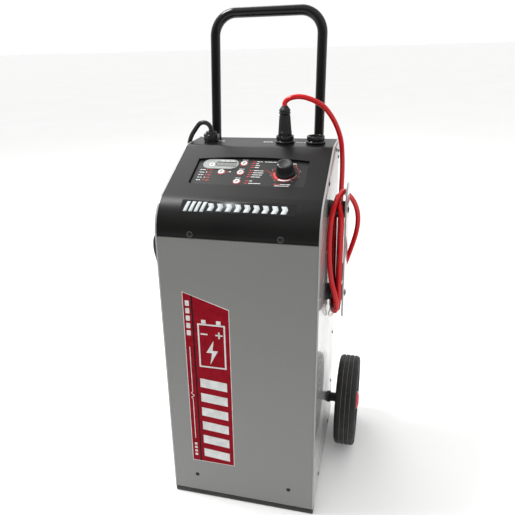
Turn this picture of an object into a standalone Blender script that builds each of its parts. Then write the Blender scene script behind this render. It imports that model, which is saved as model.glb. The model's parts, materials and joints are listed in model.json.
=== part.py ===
"""A car battery charger on two wheels, with a handle, a lead winder on each side and a sloping control panel.

Metres, +Z up. X is 0 at the middle of the body and Z is 0 at the floor. In the constants and the
outlines Y counts back from the front foot's face; MID_Y moves it so that the origin lies under the
middle of the whole charger.
"""

import math

import bmesh
import bpy
from mathutils import Matrix, Vector

GAP = 0.0003

# Body
BODY_HALF = 0.145
BODY_DEPTH = 0.307
BODY_BASE_Z = 0.0114
FRONT_LEAN = math.radians(4.0)
TOP_Z = 0.683
TOP_BEND_Y = 0.2205
SLOPE = math.radians(23.55)
NOSE_RADIUS = 0.075
BEND_RADIUS = 0.025
LIP_Z = 0.5600
SIDE_THICKNESS = 0.003
SIDE_FLANGE = 0.012
SHEET = 0.0015
HOOD_SHEET = 0.002
HOOD_DROP = 0.0005
REAR_PANEL_Y = 0.306
INNER_HALF = BODY_HALF - SIDE_THICKNESS - GAP
FOOT_DEPTH = 0.026

# Wheels, on an axle across the back of the body
WHEEL_Y = 0.2426
WHEEL_RADIUS = 0.100
WHEEL_INNER_X = 0.1665
WHEEL_WIDTH = 0.0445
AXLE_RADIUS = 0.008
BORE_RADIUS = 0.00808
AXLE_HALF = 0.206
SLEEVE_RADIUS = 0.010
WHEEL_STEPS = 40
AXLE_STEPS = 32
MID_Y = (WHEEL_Y + WHEEL_RADIUS) / 2

# Handle: a bent tube that leans back as it rises
HANDLE_RADIUS = 0.0095
HANDLE_HALF = 0.1057
HANDLE_FOOT_Z = 0.560
HANDLE_Y = 0.294
HANDLE_TOP_Z = 0.916
HANDLE_LEAN = math.atan(0.155)
HANDLE_BEND = 0.042

# Control panel, in the slope's own frame: u across, v up the slope, n out of it
RECESS_HALF = 0.105
RECESS_LOW_V = 0.0316
RECESS_HIGH_V = 0.1051
RECESS_ARCH = 0.0075
RECESS_DEPTH = 0.004
FLOOR_N = -HOOD_DROP - RECESS_DEPTH
TRAY_BACK_N = -0.0100
DISPLAY_UV = (-0.0598, 0.0938)
DISPLAY_SIZE = (0.0670, 0.0275)
WINDOW_UV = (-0.0491, 0.0934)
WINDOW_SIZE = (0.037, 0.011)
POWER_UV = (-0.0762, 0.0915)
MODE_UV = ((-0.0159, 0.0982), (-0.0169, 0.0713), (-0.0178, 0.0455), (-0.0531, 0.0715))
KNOB_UV = (0.0658, 0.0733)
BUTTON_RADIUS = 0.006
BUTTON_PROUD = 0.0018
BOARD_N = -0.0215

# Sockets, plug and gland on the flat top
HOOD_TOP_Z = TOP_Z - HOOD_DROP
SOCKET_Y = 0.256
POSITIVE_X = 0.0454
NEGATIVE_X = 0.1050
SOCKET_RADIUS = 0.017
SOCKET_RIM = 0.0140
SOCKET_BORE = 0.0134
SOCKET_NECK = 0.0150
CONTACT_RADIUS = 0.009
GLAND_X = -0.106
GLAND_Y = 0.2616

# Lead winders: two posts and a long plate on each side
POST_RADIUS = 0.015
POST_Z = (0.4225, 0.5875)
LEFT_DROP = 0.065
WINDER_Y = 0.150
PLATE_X = 0.1755
PLATE_THICKNESS = 0.003
PLATE_WIDTH = 0.060
PLATE_LENGTH = 0.262

# Leads
RED_RADIUS = 0.0048
MAINS_RADIUS = 0.0045
HANK_INNER = 0.024
HANK_DEPTH = 0.0096
HANK_X = (0.148, 0.1748)
HANK_Z = (0.4196, 0.5807)

# Insides
FAN_Z = 0.330
FAN_SIZE = 0.120
FAN_DEPTH = 0.038
FAN_FRONT_Y = 0.262

COLOURS = {
    "light_grey_paint": ((0.55, 0.55, 0.54), 0.0, 0.35),
    "mid_grey_paint": ((0.20, 0.20, 0.18), 0.0, 0.45),
    "charcoal_paint": ((0.035, 0.035, 0.036), 0.0, 0.4),
    "gloss_black": ((0.008, 0.008, 0.008), 0.0, 0.2),
    "black_plastic": ((0.012, 0.012, 0.012), 0.0, 0.5),
    "black_rubber": ((0.015, 0.015, 0.015), 0.0, 0.7),
    "tyre_rubber": ((0.02, 0.02, 0.02), 0.0, 0.8),
    "red_rubber": ((0.45, 0.005, 0.008), 0.0, 0.3),
    "red_plastic": ((0.45, 0.01, 0.01), 0.0, 0.35),
    "white_plastic": ((0.8, 0.8, 0.78), 0.0, 0.4),
    "silver_plastic": ((0.45, 0.47, 0.46), 0.0, 0.35),
    "dark_lens": ((0.05, 0.05, 0.045), 0.0, 0.15),
    "steel": ((0.5, 0.5, 0.5), 1.0, 0.35),
    "brass": ((0.7, 0.5, 0.2), 1.0, 0.3),
    "aluminium": ((0.7, 0.7, 0.7), 1.0, 0.4),
    "copper_wire": ((0.45, 0.16, 0.06), 1.0, 0.4),
    "circuit_board": ((0.01, 0.12, 0.04), 0.0, 0.5),
    "core_steel": ((0.12, 0.12, 0.13), 1.0, 0.6),
}


def clear_scene():
    for obj in list(bpy.data.objects):
        bpy.data.objects.remove(obj, do_unlink=True)


def new_collection(name):
    collection = bpy.data.collections.new(name)
    bpy.context.scene.collection.children.link(collection)
    return collection


clear_scene()
PARTS = new_collection("battery_charger")
CUTTERS = new_collection("cutters")
CUTTERS.hide_render = True


def finish_material(name):
    colour, metallic, roughness = COLOURS[name]
    material = bpy.data.materials.get(name) or bpy.data.materials.new(name)
    material.use_nodes = True
    shader = material.node_tree.nodes["Principled BSDF"]
    shader.inputs["Base Color"].default_value = (*colour, 1.0)
    shader.inputs["Metallic"].default_value = metallic
    shader.inputs["Roughness"].default_value = roughness
    material.diffuse_color = (*colour, 1.0)
    return material


# Frames: each is a matrix whose columns are the local axes and origin in the world


def place(x, y, z):
    """A point in the world, from one whose Y counts back from the front foot."""
    return Vector((x, y - MID_Y, z))


def frame(origin, x_axis, y_axis):
    x_axis = Vector(x_axis).normalized()
    y_axis = Vector(y_axis).normalized()
    axes = Matrix((x_axis, y_axis, x_axis.cross(y_axis))).transposed()
    return Matrix.Translation(origin) @ axes.to_4x4()


def side_frame(x):
    """Local X and Y run back and up, and local Z runs to the right."""
    return frame(place(x, 0, 0), (0, 1, 0), (0, 0, 1))


def upright_frame(x, y, z):
    """Local axes as the world's."""
    return frame(place(x, y, z), (1, 0, 0), (0, 1, 0))


def outward_frame(side, x, y, z):
    """Local Z points out of the body: to the right for side 1, to the left for side -1."""
    return frame(place(side * x, y, z), (0, side, 0), (0, 0, 1))


def back_frame(x, y, z):
    """Local X and Y run left and up, and local Z runs back."""
    return frame(place(x, y, z), (-1, 0, 0), (0, 0, 1))


# Outlines, as lists of 2D points


def arc(centre, radius, start, end, steps):
    """Points of an arc in degrees, with both ends."""
    angles = [math.radians(start + (end - start) * i / steps) for i in range(steps + 1)]
    return [(centre[0] + radius * math.cos(a), centre[1] + radius * math.sin(a)) for a in angles]


def circle(centre, radius, steps=32):
    return arc(centre, radius, 0, 360, steps)[:-1]


def fillet(before, corner, after, radius, steps=5):
    """Points of the arc that rounds a corner."""
    before, corner, after = Vector(before), Vector(corner), Vector(after)
    to_before = (before - corner).normalized()
    to_after = (after - corner).normalized()
    half = to_before.angle(to_after) / 2
    centre = corner + (to_before + to_after).normalized() * radius / math.sin(half)
    start = corner + to_before * radius / math.tan(half) - centre
    end = corner + to_after * radius / math.tan(half) - centre
    first = math.atan2(start.y, start.x)
    turn = (math.atan2(end.y, end.x) - first + math.pi) % (2 * math.pi) - math.pi
    angles = [first + turn * i / steps for i in range(steps + 1)]
    return [(centre.x + radius * math.cos(a), centre.y + radius * math.sin(a)) for a in angles]


def rounded(corners, radius, steps=5):
    """A closed outline with every corner rounded alike."""
    points = []
    count = len(corners)
    for i, corner in enumerate(corners):
        points += fillet(corners[i - 1], corner, corners[(i + 1) % count], radius, steps)
    return points


def rectangle(centre, width, height):
    x, y = centre
    half_w, half_h = width / 2, height / 2
    left, right, low, high = x - half_w, x + half_w, y - half_h, y + half_h
    return [(left, low), (right, low), (right, high), (left, high)]


def slot(centre, width, height, steps=8):
    """A shape with two straight sides and round ends."""
    radius = min(width, height) / 2
    return rounded(rectangle(centre, width, height), radius * 0.999, steps)


def meet(point, direction, other, other_direction):
    """Where two lines in a plane cross."""
    point, direction = Vector(point), Vector(direction)
    other, other_direction = Vector(other), Vector(other_direction)
    across = direction.x * other_direction.y - direction.y * other_direction.x
    gap = other - point
    return point + direction * (gap.x * other_direction.y - gap.y * other_direction.x) / across


# The body's side outline in (Y, Z): the front leans back, then come the nose, the slope and the flat top

UP_FRONT = Vector((math.sin(FRONT_LEAN), math.cos(FRONT_LEAN)))
UP_SLOPE = Vector((math.cos(SLOPE), math.sin(SLOPE)))


def front_y(z):
    return z * math.tan(FRONT_LEAN)


def corner_points(drop):
    """The corners of the nose and the top bend, on an outline this far inside the side panels' edge."""
    front = Vector((UP_FRONT.y, -UP_FRONT.x)) * drop
    bend = Vector((TOP_BEND_Y, TOP_Z)) + Vector((UP_SLOPE.y, -UP_SLOPE.x)) * drop
    nose = meet(front, UP_FRONT, bend, UP_SLOPE)
    top = meet(bend, UP_SLOPE, (0, TOP_Z - drop), (1, 0))
    return nose, top


def hood_curve(drop, nose_steps=12):
    """The nose and the top bend, from front to back."""
    nose, top = corner_points(drop)
    low = nose - UP_FRONT * 0.1
    return fillet(low, nose, top, NOSE_RADIUS - drop, nose_steps) + fillet(
        nose, top, top + Vector((0.1, 0)), BEND_RADIUS - drop, 5
    )


def panel_frame():
    """The slope's frame: its origin is where the nose ends, on the side panels' outline."""
    nose, _ = corner_points(0)
    turn = math.pi / 2 - FRONT_LEAN - SLOPE
    start = nose + UP_SLOPE * NOSE_RADIUS * math.tan(turn / 2)
    return frame(place(0, start.x, start.y), (1, 0, 0), (0, UP_SLOPE.x, UP_SLOPE.y))


# Makers of objects


def add(name, mesh, matrix, material, collection=PARTS):
    obj = bpy.data.objects.new(name, mesh)
    obj.matrix_world = matrix
    collection.objects.link(obj)
    if material:
        mesh.materials.append(finish_material(material))
    return obj


def outline_mesh(name, loops, low, high):
    """A closed mesh from low to high along local Z: inside the first loop and outside the others."""
    data = bpy.data.curves.new(name, "CURVE")
    data.dimensions = "2D"
    data.fill_mode = "BOTH"
    data.extrude = (high - low) / 2
    for loop in loops:
        spline = data.splines.new("POLY")
        spline.points.add(len(loop) - 1)
        for point, (x, y) in zip(spline.points, loop):
            point.co = (x, y, 0, 1)
        spline.use_cyclic_u = True
    guide = bpy.data.objects.new(name + "_outline", data)
    bpy.context.scene.collection.objects.link(guide)
    graph = bpy.context.evaluated_depsgraph_get()
    mesh = bpy.data.meshes.new_from_object(guide.evaluated_get(graph))
    bpy.data.objects.remove(guide, do_unlink=True)
    solid = bmesh.new()
    solid.from_mesh(mesh)
    bmesh.ops.remove_doubles(solid, verts=solid.verts, dist=1e-6)
    bmesh.ops.translate(solid, verts=solid.verts, vec=(0, 0, (low + high) / 2))
    bmesh.ops.recalc_face_normals(solid, faces=solid.faces)
    solid.to_mesh(mesh)
    solid.free()
    mesh.name = name
    return mesh


def extruded(name, loops, low, high, matrix, material, collection=PARTS):
    return add(name, outline_mesh(name, loops, low, high), matrix, material, collection)


def box(name, low, high, material, collection=PARTS):
    """A box between two corners, given as place() takes them."""
    low, high = place(*low), place(*high)
    mesh = bpy.data.meshes.new(name)
    solid = bmesh.new()
    bmesh.ops.create_cube(solid, size=1)
    bmesh.ops.scale(solid, vec=high - low, verts=solid.verts)
    solid.to_mesh(mesh)
    solid.free()
    return add(name, mesh, Matrix.Translation((low + high) / 2), material, collection)


def turned(name, profile, matrix, material, steps=24, ring=False, collection=PARTS):
    """A profile of (radius, height) points turned about local Z. It runs down its outer side."""
    mesh = bpy.data.meshes.new(name)
    count = len(profile)
    edges = [(i, i + 1) for i in range(count - 1)]
    if ring:
        edges.append((count - 1, 0))
    mesh.from_pydata([(r, 0, h) for r, h in profile], edges, [])
    obj = add(name, mesh, matrix, material, collection)
    screw = obj.modifiers.new("turn", "SCREW")
    screw.steps = steps
    screw.render_steps = steps
    screw.use_merge_vertices = True
    screw.merge_threshold = 1e-6
    return obj


def cylinder(name, radius, low, high, matrix, material=None, steps=24, collection=PARTS):
    profile = [(0, high), (radius, high), (radius, low), (0, low)]
    return turned(name, profile, matrix, material, steps, False, collection)


def tube(name, points, radius, material, sides=2):
    """A round bar along world points, with flat ends."""
    data = bpy.data.curves.new(name, "CURVE")
    data.dimensions = "3D"
    data.bevel_depth = radius
    data.bevel_resolution = sides
    data.use_fill_caps = True
    spline = data.splines.new("POLY")
    spline.points.add(len(points) - 1)
    for point, co in zip(spline.points, points):
        point.co = (*co, 1)
    obj = bpy.data.objects.new(name, data)
    PARTS.objects.link(obj)
    data.materials.append(finish_material(material))
    return obj


def folded(name, profile, half_width, thickness, material):
    """Sheet folded along a (Y, Z) profile, straight across the body, and thickened to its path's right."""
    mesh = bpy.data.meshes.new(name)
    verts = [(x, y, z) for y, z in profile for x in (-half_width, half_width)]
    faces = [(2 * i, 2 * i + 1, 2 * i + 3, 2 * i + 2) for i in range(len(profile) - 1)]
    mesh.from_pydata(verts, [], faces)
    obj = add(name, mesh, Matrix.Translation((0, -MID_Y, 0)), material)
    solidify = obj.modifiers.new("thickness", "SOLIDIFY")
    solidify.thickness = thickness
    solidify.offset = -1
    solidify.use_even_offset = True
    return obj


def cut(obj, cutter):
    cutter.display_type = "WIRE"
    cutter.hide_render = True
    boolean = obj.modifiers.new(cutter.name, "BOOLEAN")
    boolean.operation = "DIFFERENCE"
    boolean.object = cutter


def join(obj, other):
    """Adds another solid to this one and puts the other with the cutters."""
    boolean = obj.modifiers.new(other.name, "BOOLEAN")
    boolean.operation = "UNION"
    boolean.object = other
    other.display_type = "WIRE"
    other.hide_render = True


def smooth_route(points, spacing):
    """Points at an even spacing along a smooth curve through the given ones (centripetal Catmull-Rom)."""
    points = [Vector(p) for p in points]
    ends = [points[0] * 2 - points[1]] + points + [points[-1] * 2 - points[-2]]
    dense = []
    for p0, p1, p2, p3 in zip(ends, ends[1:], ends[2:], ends[3:]):
        t1 = (p1 - p0).length ** 0.5
        t2 = t1 + (p2 - p1).length ** 0.5
        t3 = t2 + (p3 - p2).length ** 0.5
        for i in range(24):
            t = t1 + (t2 - t1) * i / 24
            a1 = p0.lerp(p1, t / t1)
            a2 = p1.lerp(p2, (t - t1) / (t2 - t1))
            a3 = p2.lerp(p3, (t - t2) / (t3 - t2))
            b1 = a1.lerp(a2, t / t2)
            b2 = a2.lerp(a3, (t - t1) / (t3 - t1))
            dense.append(b1.lerp(b2, (t - t1) / (t2 - t1)))
    dense.append(points[-1])
    lengths = [0.0]
    for a, b in zip(dense, dense[1:]):
        lengths.append(lengths[-1] + (b - a).length)
    count = max(2, round(lengths[-1] / spacing))
    route = []
    index = 0
    for i in range(count + 1):
        wanted = lengths[-1] * i / count
        while index < len(dense) - 2 and lengths[index + 1] < wanted:
            index += 1
        span = lengths[index + 1] - lengths[index]
        route.append(dense[index].lerp(dense[index + 1], (wanted - lengths[index]) / span))
    return route


# Casing


def make_casing():
    base = BODY_BASE_Z
    rear = REAR_PANEL_Y - SHEET - GAP
    behind = SHEET + GAP
    tray = [(rear, 0.060), (rear, base), (front_y(base) + behind, base), (front_y(0.06) + behind, 0.060)]
    folded("base_tray", tray, INNER_HALF, SHEET, "steel")

    foot = box("front_foot", (-0.1445, 0, 0), (0.1445, FOOT_DEPTH, base - GAP), "black_rubber")
    bevel = foot.modifiers.new("edges", "BEVEL")
    bevel.width = 0.0015
    bevel.segments = 2

    top = LIP_Z - GAP
    start = (front_y(base + 0.0002), base + 0.0002)
    corner = (front_y(top), top)
    panel = [start] + fillet(start, corner, (corner[0] + 0.02, top), 0.004, 5) + [(corner[0] + 0.018, top)]
    folded("front_panel", panel, INNER_HALF, SHEET, "mid_grey_paint")

    make_rear_panel()
    make_hood()
    for side, name in ((1, "right_side_panel"), (-1, "left_side_panel")):
        make_side_panel(name, side)


def make_rear_panel():
    low, high = BODY_BASE_Z + 0.0002, TOP_Z - 0.014
    outline = rectangle((0, (low + high) / 2), 2 * INNER_HALF, high - low)
    loops = [outline]
    spokes, rings = 6, (0.018, 0.030, 0.042, 0.054)
    for inner, outer in zip(rings, rings[1:]):
        for i in range(spokes):
            start = 360 * i / spokes + 6
            end = 360 * (i + 1) / spokes - 6
            far = arc((0, FAN_Z), outer - 0.004, start, end, 4)
            near = arc((0, FAN_Z), inner, end, start, 4)
            loops.append(far + near)
    extruded("rear_panel", loops, -SHEET, 0, back_frame(0, REAR_PANEL_Y, 0), "mid_grey_paint")


def make_side_panel(name, side):
    """A flat panel with its edge folded in all round, so that the edge looks thick."""
    base = BODY_BASE_Z
    bottom = [(BODY_DEPTH, base), (front_y(base), base)]
    outline = bottom + hood_curve(0) + fillet((0.2, TOP_Z), (BODY_DEPTH, TOP_Z), (BODY_DEPTH, 0.6), 0.004, 4)
    inner_face = side_frame(BODY_HALF - SIDE_THICKNESS)
    panel = extruded(name, [outline], 0, SIDE_THICKNESS, inner_face, "light_grey_paint")
    if side < 0:
        panel.matrix_world = side_frame(-BODY_HALF)

    inset = SIDE_FLANGE
    pocket = [(BODY_DEPTH - inset, base + inset), (front_y(base) + inset, base + inset)] + hood_curve(inset)
    pocket.append((BODY_DEPTH - inset, TOP_Z - inset))
    far, near = BODY_HALF - SHEET, BODY_HALF - SIDE_THICKNESS - 0.002
    low, high = (near, far) if side > 0 else (-far, -near)
    cut(panel, extruded(name + "_pocket", [pocket], low, high, side_frame(0), None, CUTTERS))

    first_z, pitch, length = 0.4095 - winder_drop(side), 0.0082, 0.062
    for i in range(16):
        louvre = slot((0.1335 + length / 2, first_z + i * pitch), length, 0.0032, 1)
        reach = side * BODY_HALF
        vent_name = f"{name}_vent_{i}"
        vent = extruded(vent_name, [louvre], reach - 0.01, reach + 0.01, side_frame(0), None, CUTTERS)
        cut(panel, vent)
    hole = cylinder(name + "_axle_hole", AXLE_RADIUS + 0.0006, -0.01, 0.01,
                    outward_frame(side, BODY_HALF, WHEEL_Y, WHEEL_RADIUS), collection=CUTTERS)
    cut(panel, hole)


def make_hood():
    """The black cover: lip, round nose, slope and flat top, with a fold down at the back."""
    rear_y = REAR_PANEL_Y - SHEET - GAP
    top = HOOD_TOP_Z
    path = hood_curve(HOOD_DROP) + fillet((0.2, top), (rear_y, top), (rear_y, 0.6), 0.004, 4)
    path.append((rear_y, top - 0.012))
    hood = folded("hood", path, INNER_HALF, HOOD_SHEET, "charcoal_paint")
    cut(hood, extruded("recess_hole", [recess_outline(0)], -0.012, 0.01, panel_frame(), None, CUTTERS))
    for name, x, y, radius in (
        ("positive_hole", POSITIVE_X, SOCKET_Y, SOCKET_NECK + 0.0005),
        ("negative_hole", NEGATIVE_X, SOCKET_Y, SOCKET_NECK + 0.0005),
        ("gland_hole", GLAND_X, GLAND_Y, 0.0105),
    ):
        cut(hood, cylinder(name, radius, -0.01, 0.01, upright_frame(x, y, top), collection=CUTTERS))
    for side, name in ((1, "right_leg_hole"), (-1, "left_leg_hole")):
        along_leg = Matrix.Translation((side * HANDLE_HALF, 0, 0)) @ Matrix.Rotation(-math.pi / 2, 4, "X")
        leg = handle_frame() @ along_leg
        cut(hood, cylinder(name, HANDLE_RADIUS + 0.0008, -0.04, 0.04, leg, collection=CUTTERS))


# Control panel


def recess_outline(margin):
    """The recess's edge in the slope's frame, grown by a margin: square below, gently arched above."""
    half = RECESS_HALF + margin
    low, high = RECESS_LOW_V - margin, RECESS_HIGH_V + margin
    radius = (half**2 + RECESS_ARCH**2) / (2 * RECESS_ARCH)
    sweep = math.degrees(math.asin(half / radius))
    crown = arc((0, high + RECESS_ARCH - radius), radius, 90 - sweep, 90 + sweep, 12)
    left = fillet((-half, high), (-half, low), (half, low), 0.005)
    right = fillet((-half, low), (half, low), (half, high), 0.005)
    return left + right + crown


def make_control_panel():
    slope = panel_frame()
    back_of_hood = -HOOD_DROP - HOOD_SHEET - GAP
    outline = recess_outline(0.005)
    tray = extruded("control_tray", [outline], TRAY_BACK_N, back_of_hood, slope, "charcoal_paint")
    cut(tray, extruded("tray_hollow", [recess_outline(-0.0003)], FLOOR_N, 0.01, slope, None, CUTTERS))

    make_button("power_button", POWER_UV, tray, slope)
    for number, uv in enumerate(MODE_UV, 1):
        make_button(f"mode_button_{number}", uv, tray, slope)

    bezel_low = FLOOR_N + GAP
    oval = slot(DISPLAY_UV, *DISPLAY_SIZE)
    key_hole = circle(POWER_UV, BUTTON_RADIUS + 0.0006)
    window_hole = rounded(rectangle(WINDOW_UV, WINDOW_SIZE[0] + 0.0006, WINDOW_SIZE[1] + 0.0006), 0.0015, 3)
    holes = [key_hole, window_hole]
    extruded("display_bezel", [oval, *holes], bezel_low, bezel_low + 0.0012, slope, "silver_plastic")
    window = rounded(rectangle(WINDOW_UV, *WINDOW_SIZE), 0.0012, 3)
    extruded("display_window", [window], bezel_low, bezel_low + 0.0008, slope, "dark_lens")

    board = rectangle((0, (RECESS_LOW_V + RECESS_HIGH_V) / 2), 0.200, 0.070)
    extruded("control_board", [board], BOARD_N - 0.0016, BOARD_N, slope, "circuit_board")
    make_knob(tray, slope)


def make_button(name, uv, tray, slope):
    """A round key through the tray, with a stem down to just above the board."""
    at = slope @ Matrix.Translation((*uv, FLOOR_N))
    stem = BOARD_N - FLOOR_N + 0.0012
    back = TRAY_BACK_N - FLOOR_N - 0.001
    profile = [(0, BUTTON_PROUD), (BUTTON_RADIUS - 0.0006, BUTTON_PROUD),
               (BUTTON_RADIUS, BUTTON_PROUD - 0.0006),
               (BUTTON_RADIUS, back), (0.0025, back), (0.0025, stem), (0, stem)]
    turned(name, profile, at, "white_plastic", 20)
    cut(tray, cylinder(name + "_hole", BUTTON_RADIUS + 0.0004, -0.02, 0.02, at, steps=20, collection=CUTTERS))


def make_knob(tray, slope):
    """The current knob with its shaft, which turns in the potentiometer behind the tray."""
    at = slope @ Matrix.Translation((*KNOB_UV, FLOOR_N))
    end = BOARD_N - FLOOR_N + 0.0015
    profile = [(0, 0.0225), (0.0125, 0.0225), (0.0143, 0.0210), (0.0155, 0.0070), (0.0170, 0.0045),
               (0.0170, 0.0006), (0.0030, 0.0006), (0.0030, end), (0, end)]
    turned("current_knob", profile, at, "black_plastic")
    cut(tray, cylinder("knob_hole", 0.0042, -0.02, 0.02, at, steps=24, collection=CUTTERS))
    top = TRAY_BACK_N - FLOOR_N - GAP
    bottom = BOARD_N - FLOOR_N + GAP
    cup = [(0.0085, top), (0.0085, bottom), (0, bottom)]
    cup += [(0, end - 0.0006), (0.00308, end - 0.0006), (0.00308, top)]
    turned("potentiometer", cup[3:] + cup[:3], at, "steel", 32)


# Sockets, plug, gland


def make_sockets():
    neck_end = -0.014
    housing = [(SOCKET_RADIUS, SOCKET_RIM), (SOCKET_RADIUS, 0.004), (0.0185, 0.004), (0.0185, GAP),
               (SOCKET_NECK, GAP), (SOCKET_NECK, neck_end), (0.0063, neck_end), (0.0063, -0.008),
               (SOCKET_BORE, -0.008), (SOCKET_BORE, SOCKET_RIM)]
    contact = [(0, -0.016), (0.0045, -0.016), (0.0045, 0.010), (CONTACT_RADIUS, 0.010),
               (CONTACT_RADIUS, -0.0077),
               (0.006, -0.0077), (0.006, -0.022), (0, -0.022)]
    for name, x in (("positive", POSITIVE_X), ("negative", NEGATIVE_X)):
        at = upright_frame(x, SOCKET_Y, HOOD_TOP_Z)
        turned(name + "_socket", housing, at, "black_plastic", 28, ring=True)
        turned(name + "_contact", contact, at, "brass", 20)


def make_plug():
    at = upright_frame(POSITIVE_X, SOCKET_Y, HOOD_TOP_Z)
    inside = SOCKET_BORE - 0.0003
    plug = [(0, 0.0535), (0.0110, 0.0535), (0.0112, 0.0505), (inside, 0.0210), (inside, 0.0103),
            (0.0042, 0.0103), (0.0042, -0.0155), (0, -0.0155)]
    turned("lead_plug", plug, at, "black_plastic")
    boot = [(0, 0.0690), (0.0060, 0.0690), (0.0085, 0.0650), (0.0112, 0.0600), (0.0112, 0.0560),
            (0.0100, 0.0540), (0, 0.0540)]
    turned("plug_boot", boot, at, "black_rubber")


def make_gland():
    at = upright_frame(GLAND_X, GLAND_Y, HOOD_TOP_Z)
    body = [(0.0052, 0.0118), (0.0100, 0.0118), (0.0100, 0.0020), (0.0150, 0.0020), (0.0150, GAP),
            (0.0100, GAP)]
    body += [(0.0100, -0.012), (0.0052, -0.012)]
    turned("gland_body", body, at, "black_plastic", 24, ring=True)
    nut = turned("gland_nut", [(0.0055, 0.0195), (0.0090, 0.0195), (0.0108, 0.0182), (0.0112, 0.0145),
                               (0.0158, 0.0145), (0.0158, 0.0024), (0.0103, 0.0024), (0.0103, 0.0121),
                               (0.0055, 0.0121)], at, "black_plastic", 24, ring=True)
    hexagon = circle((0, 0), 0.0145 / math.cos(math.pi / 6), 6)
    outer = circle((0, 0), 0.03, 24)
    cut(nut, extruded("hexagon_cutter", [outer, hexagon], 0.0, 0.020, at, None, CUTTERS))


# Handle


def handle_frame():
    """Local X across, local Y up along the leaning legs. Its origin is where they pass the hood."""
    return frame(place(0, HANDLE_Y, TOP_Z), (1, 0, 0), (0, math.sin(HANDLE_LEAN), math.cos(HANDLE_LEAN)))


def make_handle():
    high = (HANDLE_TOP_Z - TOP_Z) / math.cos(HANDLE_LEAN)
    low = (HANDLE_FOOT_Z - TOP_Z) / math.cos(HANDLE_LEAN)
    left_foot, left_top = (-HANDLE_HALF, low), (-HANDLE_HALF, high)
    right_top, right_foot = (HANDLE_HALF, high), (HANDLE_HALF, low)
    path = [left_foot] + fillet(left_foot, left_top, right_top, HANDLE_BEND, 8)
    path += fillet(left_top, right_top, right_foot, HANDLE_BEND, 8) + [right_foot]
    lean = handle_frame()
    tube("handle_tube", [lean @ Vector((x, y, 0)) for x, y in path], HANDLE_RADIUS, "gloss_black", 5)

    low_z, high_z = 0.572, 0.602
    back = REAR_PANEL_Y - SHEET - GAP
    bar = box("handle_crossbar", (-0.138, 0.262, low_z), (0.138, back, high_z), "steel")
    low, high = (-0.085, 0.255, low_z - 0.01), (0.085, 0.300, high_z + 0.01)
    lightening = box("crossbar_hollow", low, high, None, CUTTERS)
    cut(bar, lightening)
    for side, name in ((1, "right_clamp_hole"), (-1, "left_clamp_hole")):
        leg = lean @ Matrix.Translation((side * HANDLE_HALF, 0, 0)) @ Matrix.Rotation(-math.pi / 2, 4, "X")
        cut(bar, cylinder(name, HANDLE_RADIUS + GAP, -0.2, 0.0, leg, collection=CUTTERS))


# Wheels


def make_wheels():
    across = outward_frame(1, 0, WHEEL_Y, WHEEL_RADIUS)
    cylinder("axle", AXLE_RADIUS, -AXLE_HALF, AXLE_HALF, across, "steel", AXLE_STEPS)
    tube_half = INNER_HALF - GAP
    bore = AXLE_RADIUS + GAP
    turned("axle_tube", [(0.0125, tube_half), (0.0125, -tube_half), (bore, -tube_half), (bore, tube_half)],
           across, "steel", ring=True)
    for side, name in ((1, "right"), (-1, "left")):
        at = outward_frame(side, WHEEL_INNER_X, WHEEL_Y, WHEEL_RADIUS)
        make_wheel(name, at)
        start, end = BODY_HALF + GAP - WHEEL_INNER_X, 0.0006
        turned("axle_sleeve_" + name,
               [(SLEEVE_RADIUS, end), (SLEEVE_RADIUS, start), (bore, start), (bore, end)],
               at, "black_plastic", ring=True)


def make_wheel(name, at):
    wide = WHEEL_WIDTH
    rim = 0.0740
    hub = [(BORE_RADIUS, 0.0408), (0.0190, 0.0408), (0.0205, 0.0330), (0.0620, 0.0330), (0.0660, 0.0400),
           (rim, 0.0400), (rim, 0.0045), (0.0660, 0.0045), (0.0620, 0.0140), (0.0205, 0.0140), (0.0190, 0.0010),
           (BORE_RADIUS, 0.0010)]
    turned("wheel_hub_" + name, hub, at, "black_plastic", AXLE_STEPS, ring=True)
    inner = rim + GAP
    tyre = [(inner, wide - 0.0025), (0.0800, wide), (0.0945, wide), (WHEEL_RADIUS, wide - 0.007),
            (WHEEL_RADIUS, 0.007), (0.0945, 0), (0.0800, 0), (inner, 0.0025)]
    turned("tyre_" + name, tyre, at, "tyre_rubber", WHEEL_STEPS, ring=True)
    cap = [(0, 0.0485), (0.0090, 0.0480), (0.0155, 0.0465), (0.0192, 0.0440), (0.0200, 0.0411), (0, 0.0411)]
    turned("hub_cap_" + name, cap, at, "red_plastic")


# Winders and leads


def winder_drop(side):
    """How much lower the left winder and its vents sit than the right ones."""
    return LEFT_DROP if side < 0 else 0


def make_winders():
    for side, name in ((1, "right"), (-1, "left")):
        heights = [z - winder_drop(side) for z in POST_Z]
        middle = sum(heights) / 2
        for level, z in zip(("lower", "upper"), heights):
            at = outward_frame(side, BODY_HALF, WINDER_Y, z)
            length = PLATE_X - BODY_HALF
            cylinder(f"{name}_{level}_post", POST_RADIUS, GAP, length - GAP, at, "black_plastic")
        at = outward_frame(side, PLATE_X, WINDER_Y, middle)
        plate = slot((0, 0), PLATE_WIDTH, PLATE_LENGTH, 10)
        extruded(f"{name}_winder_plate", [plate], 0, PLATE_THICKNESS, at, "light_grey_paint")


def hank(name, side, depth, material):
    """The outer shape of the turns on one winder: a flat ring with round ends."""
    low_z, high_z = HANK_Z
    inner, outer = HANK_INNER, HANK_INNER + depth
    middle = ((high_z + low_z) / 2) - POST_Z[0]
    loops = [slot((0, middle), 2 * r, high_z - low_z + 2 * r, 12) for r in (outer, inner)]
    at = outward_frame(side, 0, WINDER_Y, POST_Z[0] - winder_drop(side))
    extruded(name, loops, *HANK_X, at, material)


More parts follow.
